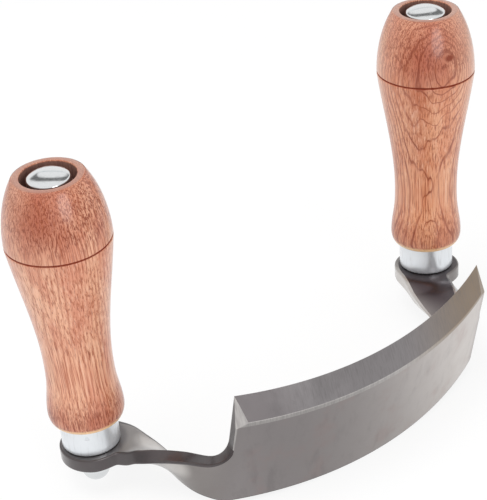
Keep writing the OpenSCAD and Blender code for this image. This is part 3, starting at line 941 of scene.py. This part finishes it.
class GripWood:
    """The wood of one grip: the places and patterns that its colours share, and the steps that give
    each colour with its share, in the order in which they are laid over one another."""

    def __init__(self, tree, side, h, f):
        self.add = partial(add, tree)
        self.tree, self.side, self.h = tree, side, h
        self.own = own = WOOD[side]
        heights = (h.swell_z, h.flare_z, f.ferrule_l, h.grip_l)
        self.swell_z, flare_z, self.lip_z, self.rim_z = (z / MM for z in heights)
        self.place = on_grip(tree, side)
        self.grain = on_grip(tree, side, own.lean)
        self.height = self.add("SeparateXYZ", self.place).node.outputs["Z"]
        self.crown = self.add("MapRange", self.height, self.swell_z - 2, self.swell_z + 8, **SMOOTH)
        self.foot = self.add("MapRange", self.height, flare_z + 11, flare_z + 1, 0.0, own.foot, **SMOOTH)
        self.cut_across = self.add("Math", self.crown, self.foot, operation="MAXIMUM")
        self.cloud = self.along_grain(0.16, 0.04, 3.0, 0.6)
        self.fibre = self.along_grain(2.1, 0.04, 3.0, 0.65)
        self.pores = self.add("MapRange", self.along_grain(2.6, 0.07, 2.0, 0.6), 0.56, 0.68, **SMOOTH)
        dashes = self.add("MapRange", self.along_grain(2.7, 0.25, 2.0, 0.7), 0.50, 0.58, **SMOOTH)
        self.dashes = self.add("Math", dashes, self.cut_across, operation="MULTIPLY")
        off_groove = self.add("Math", self.height, self.swell_z, operation="SUBTRACT")
        off_groove = self.add("Math", off_groove, operation="ABSOLUTE")
        self.groove = self.add("MapRange", off_groove, 0.45, 0.2, **SMOOTH)
        recess_r = h.recess_d / 2 / MM
        within = self.add("MapRange", from_axis(tree, self.place), recess_r + 0.3, recess_r, **SMOOTH)
        below_rim = self.add("MapRange", self.height, self.rim_z - 0.1, self.rim_z - 0.6, **SMOOTH)
        self.recess = self.add("Math", within, below_rim, operation="MULTIPLY")

    def along_grain(self, across, along, detail, roughness=0.5):
        """A random pattern drawn out along the grain, with so many swells to a millimetre across the
        grain and along it."""
        drawn_out = self.add("Mapping", self.grain, Scale=(across, across, along))
        return self.add("TexNoise", drawn_out, 1.0, detail, roughness)

    def grown(self):
        """Clouds of lighter wood, heartwood that warms the right grip, and pale streaks."""
        h = self.h
        yield self.add("MapRange", self.cloud, 0.35, 0.65, **SMOOTH), h.wood_light
        if self.side == "right":
            yield self.add("MapRange", self.crown, 0.0, 1.0, 0.35, 0.1, **SMOOTH), h.warm_wood
            yield bell(self.tree, self.place, radians(-146), 68, 3.5, 18, 0.45), h.wood_dark
        pale = self.add("MapRange", self.fibre, 0.48, 0.32, 0.0, 0.4, **SMOOTH)
        cut_along = self.add("Math", 1.0, self.cut_across, operation="SUBTRACT")
        yield self.add("Math", pale, cut_along, operation="MULTIPLY"), h.pale_streak_and_sheen_colour

    def reddened_and_shaded(self):
        """Redder wood on the crown and the foot, less in the light clouds, and a darker red painted shade
        on the crown's middle, where it faces the front.
        """
        crown = self.add("MapRange", self.height, self.swell_z + 2, self.rim_z - 7, 0.0, 0.12, **SMOOTH)
        foot = self.add("Math", self.foot, 0.5, operation="MULTIPLY")
        red = self.add("Math", crown, foot, operation="MAXIMUM")
        drunk = self.add("MapRange", self.cloud, 0.3, 0.65, 1.0, 0.7, **SMOOTH)
        # Painted shade: a darker red patch on the crown's middle, where it faces the front
        turn, level, most = self.own.painted_shade
        painted_shade = bell(self.tree, self.place, turn, level, 7.5, 9, most)
        yield self.add("Math", red, drunk, painted_shade, operation="MULTIPLY_ADD"), self.h.red_wood_and_shade_colour

    def to_late_wood(self):
        """Distance along the grip's surface, in millimetres, to the nearest layer of late wood. The
        layers are planes that wander a little: seen on edge on the left grip, and seen flat on the
        right one, where they bulge round a knot and so close in rings about it. The distance to a
        plane, over the sine of the surface's angle to it, is the one along the surface."""
        own = self.own
        square_to = np.array([cos(own.layers_face), sin(own.layers_face), 0.0])
        depth = self.add("VectorMath", self.grain, tuple(square_to), operation="DOT_PRODUCT")
        wander = self.along_grain(0.07, 0.016, 3.0)
        layer = self.add("Math", wander, own.sway, depth, operation="MULTIPLY_ADD")
        if self.side == "right":
            bulge = bell(self.tree, self.grain, KNOT[0], KNOT[1] - 1, 6.0, 11.0)
            layer = self.add("Math", bulge, 9.0, layer, operation="MULTIPLY_ADD")
        to_plane = self.add("Math", layer, own.layer_gap / 2, operation="PINGPONG")
        cosine = facing(self.tree, square_to @ handle_axes(self.side))
        less_cosine = self.add("Math", cosine, -1.0, operation="MULTIPLY")
        sine = self.add("Math", cosine, less_cosine, 1.0, operation="MULTIPLY_ADD")
        sine = self.add("Math", self.add("Math", sine, operation="SQRT"), 0.2, operation="MAXIMUM")
        return self.add("Math", to_plane, sine, operation="DIVIDE")

    def lined(self):
        """Thin lines of late wood with a shade beside them, wider and full near the knot, and the
        fine dark streaks of the fibre."""
        h, own, late = self.h, self.own, self.to_late_wood()
        strong = self.along_grain(0.4, 0.04, 2.0)
        strong = self.add("MapRange", strong, 0.35, 0.65, own.least, own.most, **SMOOTH)
        if self.side == "right":
            near_knot = bell(self.tree, self.place, radians(-126), KNOT[1] - 2, 9, 12)
            faded = self.add("MapRange", self.crown, 0.0, 1.0, 1.0, 0.3, **SMOOTH)
            strong = self.add("Math", strong, faded, operation="MULTIPLY")
            strong = self.add("Math", strong, near_knot, operation="MAXIMUM")
            widened = self.add("MapRange", near_knot, 0.2, 0.9, 1.0, 0.4, **SMOOTH)
            late = self.add("Math", late, widened, operation="MULTIPLY")
        yield self.add("MapRange", late, 0.9, 0.1, 0.0, own.shade, **SMOOTH), h.wood_dark
        line = self.add("MapRange", late, 0.36, 0.14, **SMOOTH)
        line_colour = {"left": h.line_colour, "right": h.fleck_colour}[self.side]
        yield self.add("Math", line, strong, operation="MULTIPLY"), line_colour
        yield self.add("MapRange", self.fibre, 0.52, 0.63, 0.0, 0.8, **SMOOTH), h.line_colour

    def pored(self):
        """Pores, pale patches of painted sheen over them on the crown's sides, and the dark eye of the
        right grip's knot.
        """
        h = self.h
        yield self.add("Math", self.pores, 0.6, operation="MULTIPLY"), h.pore_colour
        yield self.add("Math", self.dashes, 0.85, operation="MULTIPLY"), h.fleck_colour
        # Painted sheen: paler patches on the crown's sides, standing in for the lacquer's bright grazing
        # reflection
        for turn, level, most in self.own.painted_sheen:
            yield bell(self.tree, self.place, turn, level, 6, 14, most), h.pale_streak_and_sheen_colour
        if self.side == "right":
            knot = bell(self.tree, self.grain, *KNOT, 1.5, 1.0)
            yield self.add("MapRange", knot, 0.2, 0.9, 0.0, 0.95, **SMOOTH), h.fleck_colour

    def lathed(self):
        """What the lathe and the drill leave: a dull rim, a paler band at the lip, painted light on its
        shaded underside, the dark-dyed groove, and the recess wall's dark end grain, deepened by painted
        shade."""
        h, lip_z = self.h, self.lip_z
        up = facing(self.tree, handle_axis(self.side))
        yield self.add("MapRange", up, 0.85, 0.97, 0.0, 0.65, **SMOOTH), h.rim_colour
        # Paler band at the lower lip, brightened as painted light on its shaded underside
        yield self.add("MapRange", self.height, lip_z + 2.4, lip_z + 0.9, 0.0, 0.75, **SMOOTH), h.lip_colour
        yield self.add("Math", self.groove, 0.85, operation="MULTIPLY"), h.groove_colour
        # Dark end grain of the recess wall, deepened by painted shade
        yield self.add("Math", self.recess, 0.85, operation="MULTIPLY"), h.dark_end_grain_and_shade_colour

    def lacquer(self, most):
        """The lacquer's share, up to its most: there is none in the groove and the recess."""
        bare = self.add("Math", self.groove, self.recess, operation="MAXIMUM")
        return self.add("Math", bare, -most, most, operation="MULTIPLY_ADD")

    def relief(self):
        """Height of the surface for its bump: the fibre stands up, and the pores are sunk."""
        sunk = self.add("Math", self.pores, self.dashes, operation="ADD")
        raised = self.add("Math", self.fibre, 0.5, operation="MULTIPLY")
        return self.add("Math", sunk, -1.0, raised, operation="MULTIPLY_ADD")


def lacquered_bubinga(side, h, f):
    """Bubinga, turned and lacquered: a pinkish brown hardwood. Thin dark lines of late wood, which
    close in rings round the knot of the right grip, fine streaks along the grain, and pores that are
    long hair lines on the sides and dense dark dashes 0.4 mm wide where the crown and the foot cut
    across them. This end grain drinks more of the dye and is redder, a darker red painted shade lies on
    the crown's middle where it faces the front, paler patches of painted sheen lie on its sides, and a
    clear semi-gloss coat gives the crown its soft shine."""
    material, tree = blank("lacquered_bubinga_" + side)
    wood = GripWood(tree, side, h, f)
    body = h.wood_mid
    for step in (wood.grown(), wood.reddened_and_shaded(), wood.lined(), wood.pored(), wood.lathed()):
        body = layered(tree, body, step)
    shader = add(tree, "BsdfPrincipled", Base_Color=body, Roughness=0.5,
                 Specular_IOR_Level=wood.lacquer(0.2),
                 Coat_Weight=wood.lacquer(0.85), Coat_Roughness=0.2, Coat_IOR=1.5,
                 Normal=add(tree, "Bump", Height=wood.relief(), Distance=0.01 * MM, Strength=1.0))
    add(tree, "OutputMaterial", shader)
    return material


def satin_forged_steel(p):
    """Tool steel, forged, hardened and belt-finished to a satin grey. The blade's face has faint belt
    lines, rosy patches of the hardening and smudges, and a painted reflection that makes it lighter to
    the right. The necks, the eyes and the blade's right inner end are darker with scale under a light
    film of oil, the right neck darker and redder again, a ring of painted shade lies round each
    ferrule, and two places on the left neck are paler."""
    material, tree = blank("satin_forged_steel")
    place = millimetres(tree)
    x = add(tree, "SeparateXYZ", place)
    outward = add(tree, "MapRange", add(tree, "Math", x, operation="ABSOLUTE"), 52.0, 66.0, **SMOOTH)
    inner_end = add(tree, "MapRange", facing(tree, REARWARD), 0.2, 0.6, **SMOOTH)
    right_end = add(tree, "MapRange", x, 44.0, 58.0, **SMOOTH)
    inner_end = add(tree, "Math", inner_end, right_end, operation="MULTIPLY")
    outward = add(tree, "Math", outward, inner_end, operation="MAXIMUM")
    to_right = add(tree, "MapRange", x, -40.0, 60.0, **SMOOTH)
    cloud = add(tree, "TexNoise", place, 0.09, 4.0, 0.6)
    smudge = add(tree, "TexNoise", add(tree, "Mapping", place, Scale=(0.2, 0.2, 0.07)), 1.0, 4.0, 0.65)
    layers = [
        # Painted reflection: the face grows lighter towards the right end
        (add(tree, "MapRange", x, -50.0, 60.0, **SMOOTH), p.painted_reflection_colour),
        (add(tree, "MapRange", cloud, 0.50, 0.7, 0.0, 0.25, **SMOOTH), p.tint_colour),
        (add(tree, "MapRange", smudge, 0.5, 0.75, 0.0, 0.14, **SMOOTH), p.scale_and_shade_colour),
        # Necks and eyes darker, the right one darker and redder again
        (outward, layered(tree, p.neck_colour, [(to_right, p.dark_neck_colour)])),
    ]
    # Two paler spots on the left neck's twist
    for rubbed in ((-64.5, 6.5, 14.0), (-67.0, -9.5, 14.5)):
        away = add(tree, "VectorMath", place, rubbed, operation="DISTANCE")
        layers.append((add(tree, "MapRange", away, 7.0, 2.0, 0.0, 0.9, **SMOOTH), p.pale_spot_and_highlight_colour))
    # Painted shade: a dark ring on each eye round its ferrule
    for side in SIDES:
        radius = from_axis(tree, on_grip(tree, side))
        layers.append((add(tree, "MapRange", radius, 13.0, 10.5, 0.0, 0.75, **SMOOTH), p.scale_and_shade_colour))
    belt = add(tree, "TexNoise", add(tree, "Mapping", place, Scale=(0.08, 0.08, 3.2)), 1.0, 3.0, 0.7)
    speck = add(tree, "Math", add(tree, "TexNoise", place, 1.6, 3.0, 0.6), 0.5, operation="MULTIPLY")
    height = add(tree, "Math", belt, 0.5, speck, operation="MULTIPLY_ADD")
    oil = add(tree, "MapRange", x, 0.0, 40.0, 1.0, 0.4, **SMOOTH)
    shader = add(tree, "BsdfPrincipled", Base_Color=layered(tree, p.face_colour, layers), Metallic=1.0,
                 Roughness=add(tree, "MapRange", cloud, 0.3, 0.7, 0.34, 0.46, **SMOOTH),
                 Normal=add(tree, "Bump", Height=height, Distance=0.012 * MM, Strength=1.0),
                 Coat_Weight=add(tree, "Math", outward, oil, operation="MULTIPLY"), Coat_Roughness=0.2)
    add(tree, "OutputMaterial", shader)
    return material


def scaled_steel(p):
    """The plate's sides, which no belt has reached: dark forge scale under a film of oil, with the
    small dents of the hammer, and a painted highlight on the right neck's sides, near white along a
    strip where they face up and to the left."""
    material, tree = blank("scaled_steel")
    place = millimetres(tree)
    x = add(tree, "SeparateXYZ", place)
    cloud = add(tree, "TexNoise", place, 0.25, 4.0, 0.6)
    past_start = add(tree, "MapRange", x, 56.0, 60.0, **SMOOTH)
    before_end = add(tree, "MapRange", x, 72.0, 64.0, **SMOOTH)
    base = layered(tree, p.scale_and_shade_colour, [
        (add(tree, "MapRange", cloud, 0.35, 0.7, 0.0, 0.6, **SMOOTH), p.dark_neck_colour),
        # Painted highlight: the right neck's sides lighter, near white along a strip, where they face up
        # and to the left
        (add(tree, "MapRange", x, 55.0, 62.0, 0.12, 0.6, **SMOOTH), p.neck_colour),
        (add(tree, "Math", past_start, before_end, operation="MULTIPLY"), p.pale_spot_and_highlight_colour),
    ])
    dents = add(tree, "TexNoise", place, 0.7, 3.0, 0.55)
    oil = add(tree, "MapRange", add(tree, "Math", x, operation="ABSOLUTE"), 57.0, 62.0, 0.3, 1.0, **SMOOTH)
    shader = add(tree, "BsdfPrincipled", Base_Color=base, Metallic=1.0,
                 Roughness=add(tree, "MapRange", cloud, 0.3, 0.7, 0.4, 0.52, **SMOOTH),
                 Normal=add(tree, "Bump", Height=dents, Distance=0.05 * MM, Strength=1.0),
                 Coat_Weight=oil, Coat_Roughness=0.2)
    add(tree, "OutputMaterial", shader)
    return material


def ground_bevel_steel(p):
    """The same steel fresh from the stone: brighter, with grinding lines 0.3 mm apart across the
    bevel, drawn coarser than the grit so that they show, dull at the left end and with a straw tint
    towards the right."""
    material, tree = blank("ground_bevel_steel")
    place = millimetres(tree)
    x = add(tree, "SeparateXYZ", place)
    lines = add(tree, "TexNoise", add(tree, "Mapping", place, Scale=(2.0, 0.5, 0.15)), 1.0, 4.0, 0.7)
    cloud = add(tree, "TexNoise", place, 0.12, 3.0, 0.6)
    base = layered(tree, p.dull_colour, [
        (add(tree, "MapRange", x, -50.0, -30.0, **SMOOTH), p.ground_colour),
        (add(tree, "MapRange", x, 5.0, 50.0, **SMOOTH), p.straw_colour),
        (add(tree, "MapRange", lines, 0.4, 0.75, 0.0, 0.5, **SMOOTH), p.dull_colour),
    ])
    shader = add(tree, "BsdfPrincipled", Base_Color=base, Metallic=1.0,
                 Roughness=add(tree, "MapRange", cloud, 0.3, 0.7, 0.3, 0.42, **SMOOTH),
                 Normal=add(tree, "Bump", Height=lines, Distance=0.01 * MM, Strength=1.0))
    add(tree, "OutputMaterial", shader)
    return material


def ground_corner_steel(p):
    """The bevel's corners and its foot, eased on a fine wheel and hardly scratched: near-white steel,
    partly a painted highlight along the foot's arris.
    """
    material, tree = blank("ground_corner_steel")
    place = millimetres(tree)
    lines = add(tree, "TexNoise", add(tree, "Mapping", place, Scale=(2.4, 0.5, 0.12)), 1.0, 3.0, 0.6)
    straw = add(tree, "MapRange", add(tree, "SeparateXYZ", place), 0.0, 40.0, **SMOOTH)
    # Near-white base, partly a painted highlight along the foot's arris
    base = layered(tree, p.eased_steel_and_highlight_colour, [(lines, p.ground_colour), (straw, p.straw_colour)])
    shader = add(tree, "BsdfPrincipled", Base_Color=base, Metallic=1.0, Roughness=0.32,
                 Normal=add(tree, "Bump", Height=lines, Distance=0.006 * MM, Strength=1.0))
    add(tree, "OutputMaterial", shader)
    return material


def bright_nickel(f):
    """Steel with bright nickel plate: near white, mirror-like, with faint waves of polishing."""
    material, tree = blank("bright_nickel")
    place = millimetres(tree)
    waves = add(tree, "TexNoise", place, 0.35)
    smears = add(tree, "TexNoise", place, 0.8, 3.0)
    shader = add(tree, "BsdfPrincipled", Base_Color=f.plate_colour, Metallic=1.0,
                 Roughness=add(tree, "MapRange", smears, 0.3, 0.8, 0.1, 0.2, **SMOOTH),
                 Normal=add(tree, "Bump", Height=waves, Distance=0.02 * MM, Strength=1.0))
    add(tree, "OutputMaterial", shader)
    return material


def satin_nickel(f):
    """Drawn tube with satin nickel plate: near white and a little blue, with upright streaks of the
    polishing wheel and a soft grain that spreads every reflection."""
    material, tree = blank("satin_nickel")
    drawn_out = add(tree, "Mapping", millimetres(tree), Scale=(1.1, 1.1, 0.12))
    streaks = add(tree, "TexNoise", drawn_out, 1.0, 3.0, 0.6)
    streaks = add(tree, "MapRange", streaks, 0.5, 0.75, 0.0, 0.35, **SMOOTH)
    base = layered(tree, f.ferrule_colour, [(streaks, f.zinc_colour)])
    add(tree, "OutputMaterial", add(tree, "BsdfPrincipled", Base_Color=base, Metallic=0.65, Roughness=0.29))
    return material


def zinc_plate(f):
    """Zinc plate on spring steel: a soft grey metal with a fine crystalline mottle."""
    material, tree = blank("zinc_plate")
    mottle = add(tree, "TexNoise", millimetres(tree), 2.5, 4.0, 0.6)
    mottled = add(tree, "MapRange", mottle, 0.3, 0.7, 0.0, 0.35, **SMOOTH)
    base = layered(tree, f.zinc_colour, [(mottled, linear("#8e9093"))])
    shader = add(tree, "BsdfPrincipled", Base_Color=base, Metallic=1.0, Roughness=0.38,
                 Normal=add(tree, "Bump", Height=mottle, Distance=0.01 * MM, Strength=1.0))
    add(tree, "OutputMaterial", shader)
    return material


def pale_floor(s):
    """Matt white board. To the camera and in reflections most of it is its own light, so that it
    stays pale and keeps a soft shadow. Reflections see it dimmer close in front of the blade, and
    towards the horizon. Distances are in millimetres."""
    material, tree = blank("pale_floor")
    path = add(tree, "LightPath").node.outputs
    place = millimetres(tree)
    from_blade = add(tree, "VectorMath", place, (-30, -75, 0), operation="DISTANCE")
    near = add(tree, "MapRange", from_blade, 20.0, 110.0, s.dim_floor, 1.0, **SMOOTH)
    from_middle = add(tree, "VectorMath", place, operation="LENGTH")
    far = add(tree, "MapRange", from_middle, 250.0, 700.0, 1.0, s.dim_front, **SMOOTH)
    dimmed = add(tree, "Math", near, far, operation="MINIMUM")
    dimmed = add(tree, "Math", dimmed, path["Is Camera Ray"], operation="MAXIMUM")
    seen = add(tree, "Math", path["Is Camera Ray"], path["Is Glossy Ray"], operation="MAXIMUM")
    own_light = add(tree, "Math", seen, 0.84, operation="MULTIPLY")
    board = add(tree, "BsdfDiffuse", s.floor_colour)
    glow = add(tree, "Emission", (1.0, 1.0, 1.0), dimmed)
    add(tree, "OutputMaterial", add(tree, "MixShader", own_light, board, glow))
    return material


# Operators

def settings():
    return bpy.context.scene.drawknife


class DrawknifeSettings(bpy.types.PropertyGroup):
    forging: PointerProperty(type=ForgingSettings, name="Forging", description="Blade, necks and eyes")
    handles: PointerProperty(type=HandleSettings, name="Handles", description="Turned wooden grips")
    fittings: PointerProperty(type=FittingSettings, name="Fittings", description="Ferrules, bolts and nuts")
    stage: PointerProperty(type=StageSettings, name="Stage", description="Camera, lamps and floor")


class DRAWKNIFE_OT_forging(bpy.types.Operator):
    """Forge the blade with its necks and eyes"""
    bl_idname = "drawknife.forging"
    bl_label = "Forging"

    def execute(self, context):
        p = settings().forging
        forging = Forging(p)
        grid = forging.grid()
        made = surface("blade_forging", grid, face_material=forging.ground_faces(*grid.shape[:2]))
        for steel in (satin_forged_steel, ground_bevel_steel, ground_corner_steel, scaled_steel):
            made.data.materials.append(steel(p))
        cutters = [forging.corner_block(side) for side in SIDES.values()]
        cutters += [forging.eye_drill(side) for side in SIDES]
        carve(made, cutters)
        piece(made, "blade", "forged_steel")
        return {"FINISHED"}


class DRAWKNIFE_OT_grips(bpy.types.Operator):
    """Turn the two wooden grips"""
    bl_idname = "drawknife.grips"
    bl_label = "Grips"

    def execute(self, context):
        h, f = settings().handles, settings().fittings
        grid = turned(grip_profile(h, f))
        for side in SIDES:
            made = surface("turned_grip_" + side, on_handle(grid, side), wrap_rows=True)
            piece(made, side + "_grip", "lacquered_wood", lacquered_bubinga(side, h, f))
        return {"FINISHED"}


class DRAWKNIFE_OT_ferrules(bpy.types.Operator):
    """Draw the two plated ferrules"""
    bl_idname = "drawknife.ferrules"
    bl_label = "Ferrules"

    def execute(self, context):
        f = settings().fittings
        nickel = satin_nickel(f)
        for side in SIDES:
            grid = on_handle(ferrule_grid(f, side == "left"), side)
            made = surface("drawn_ferrule_" + side, grid, wrap_rows=True)
            piece(made, side + "_ferrule", "plated_ferrule", nickel)
        return {"FINISHED"}


class DRAWKNIFE_OT_fastenings(bpy.types.Operator):
    """Make the tie bolts, lock washers and cap nuts"""
    bl_idname = "drawknife.fastenings"
    bl_label = "Fastenings"

    def execute(self, context):
        p, h, f = settings().forging, settings().handles, settings().fittings
        nickel, zinc = bright_nickel(f), zinc_plate(f)
        for side in SIDES:
            bolt = surface("tie_bolt_" + side, on_handle(bolt_grid(f, h, p.plate_t), side))
            piece(bolt, side + "_tie_bolt", "plated_bolt", nickel)
            washer = surface("lock_washer_" + side, on_handle(washer_grid(f, h, p.plate_t), side))
            piece(washer, side + "_lock_washer", "zinc_washer", zinc)
            nut = surface("cap_nut_" + side, on_handle(nut_grid(f, p.plate_t), side))
            piece(nut, side + "_cap_nut", "plated_nut", nickel)
        return {"FINISHED"}


class DRAWKNIFE_OT_stage(bpy.types.Operator):
    """Set up the camera, the lamps and the pale floor"""
    bl_idname = "drawknife.stage"
    bl_label = "Stage"

    def execute(self, context):
        s = settings().stage
        scene = context.scene
        scene.view_settings.view_transform = "Standard"
        self.camera(scene, s)
        self.floor(s)
        self.surroundings(scene, s)
        key = self.lamp("key_lamp", (-0.4, 0.1, 1.15), 0.9, s.key)
        key.visible_glossy = False
        self.lamp("front_lamp", (-0.16, -1.03, 0.48), 0.62, s.fill)
        return {"FINISHED"}

    def camera(self, scene, s):
        camera = bpy.data.cameras.new("camera")
        camera.lens = s.lens / MM
        camera.sensor_width = 36
        made = bpy.data.objects.new("camera", camera)
        scene.collection.objects.link(made)
        forward = (Vector(s.camera_aim) - Vector(s.camera_place)).normalized()
        level = forward.cross(Vector((0, 0, 1))).normalized()
        right = cos(s.camera_roll) * level + sin(s.camera_roll) * forward.cross(level)
        turn = Matrix([right, right.cross(forward), -forward]).transposed()
        made.matrix_world = Matrix.Translation(s.camera_place) @ turn.to_4x4()
        scene.camera = made

    def floor(self, s):
        """A flat disc: the radius grows over a few rings, and the angle goes round."""
        radius = np.array([0.0, 0.3, 1.0, 4.0])
        grid = turned(np.column_stack([radius, 0 * radius]), 96)
        mesh = bpy.data.meshes.new("floor")
        faces = grid_faces(4, 96, False, True)
        mesh.from_pydata(grid.reshape(-1, 3).tolist(), [], faces.reshape(-1, 4).tolist())
        weld(mesh)
        mesh.materials.append(pale_floor(s))
        made = bpy.data.objects.new("floor", mesh)
        bpy.context.scene.collection.objects.link(made)
        made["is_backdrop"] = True

    def surroundings(self, scene, s):
        """White all round to the camera and dimmer as a light. In reflections it is a studio: white
        overhead and behind the tool, dimmer along the front but for a pale card at the camera, with
        two soft grey panels that hang behind, each a ring of directions about its own middle."""
        world = scene.world or bpy.data.worlds.new("world")
        scene.world = world
        world.use_nodes = True
        tree = world.node_tree
        tree.nodes.clear()
        path = add(tree, "LightPath").node.outputs
        direction = add(tree, "TexCoord")
        up = add(tree, "VectorMath", direction, (0.0, 0.0, 1.0), operation="DOT_PRODUCT")
        back = add(tree, "VectorMath", direction, (0.64, 0.77, 0.0), operation="DOT_PRODUCT")
        to_camera = add(tree, "VectorMath", direction, (-0.565, -0.807, 0.174), operation="DOT_PRODUCT")
        behind = add(tree, "MapRange", back, -0.6, 0.3, s.dim_front, 1.0, **SMOOTH)
        overhead = add(tree, "MapRange", up, 0.2, 0.7, s.dim_front, 1.0, **SMOOTH)
        card = add(tree, "MapRange", to_camera, 0.955, 0.98, 0.0, 0.95, **SMOOTH)
        level = add(tree, "Math", behind, overhead, operation="MAXIMUM")
        level = add(tree, "Math", level, card, operation="MAXIMUM")
        # Each panel's middle, its outer, inner and lower edge as cosines, its share and its colour
        panels = (((0.49, 0.61, 0.62), (0.79, 0.83), (0.93, 0.90), (0.3, 0.45), 0.9, (0.1, 0.1, 0.1)),
                  ((0.60, 0.76, 0.25), (0.93, 0.945), (0.965, 0.955), (0.35, 0.45), 0.35, (0.2, 0.3, 0.34)))
        layers = []
        for middle, outer, inner, lower, most, colour in panels:
            toward = add(tree, "VectorMath", direction, middle, operation="DOT_PRODUCT")
            panel = add(tree, "MapRange", toward, *outer, 0.0, most, **SMOOTH)
            for value, edge in ((toward, inner), (up, lower)):
                within = add(tree, "MapRange", value, *edge, **SMOOTH)
                panel = add(tree, "Math", panel, within, operation="MULTIPLY")
            layers.append((panel, colour))
        white = (1.0, 1.0, 1.0)
        tone = layered(tree, white, [(path["Is Glossy Ray"], layered(tree, white, layers))])
        level = add(tree, "Mix", path["Is Glossy Ray"], s.ambient, level)
        level = add(tree, "Math", level, path["Is Camera Ray"], operation="MAXIMUM")
        add(tree, "OutputWorld", add(tree, "Background", tone, level))

    def lamp(self, name, place, size, power):
        light = bpy.data.lights.new(name, "AREA")
        light.shape = "DISK"
        light.size = size
        light.energy = power
        made = bpy.data.objects.new(name, light)
        made.location = place
        made.rotation_euler = (Vector((0, 0, 0.05)) - Vector(place)).to_track_quat("-Z", "Y").to_euler()
        bpy.context.scene.collection.objects.link(made)
        return made


class DRAWKNIFE_PT_panel(bpy.types.Panel):
    """Lists the pieces of the drawknife"""
    bl_idname = "DRAWKNIFE_PT_panel"
    bl_label = "Curved Drawknife"
    bl_space_type = "VIEW_3D"
    bl_region_type = "UI"
    bl_category = "Drawknife"

    def draw(self, context):
        for operator in OPERATORS:
            self.layout.operator(operator.bl_idname)


OPERATORS = (DRAWKNIFE_OT_stage, DRAWKNIFE_OT_forging, DRAWKNIFE_OT_grips, DRAWKNIFE_OT_ferrules,
             DRAWKNIFE_OT_fastenings)
CLASSES = (ForgingSettings, HandleSettings, FittingSettings, StageSettings, DrawknifeSettings, *OPERATORS,
           DRAWKNIFE_PT_panel)


def register():
    for cls in CLASSES:
        bpy.utils.register_class(cls)
    bpy.types.Scene.drawknife = PointerProperty(type=DrawknifeSettings)


def unregister():
    del bpy.types.Scene.drawknife
    for cls in reversed(CLASSES):
        bpy.utils.unregister_class(cls)


def write_size():
    """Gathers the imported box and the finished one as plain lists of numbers."""
    boxes = {"cad": CAD_BOX, "visual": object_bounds()}
    sizes = {name: [list(corner) for corner in box] for name, box in boxes.items()}


def main():
    register()
    for name in ("stage", "forging", "grips", "ferrules", "fastenings"):
        getattr(bpy.ops.drawknife, name)()
    write_size()


if __name__ == "__main__":
    main()
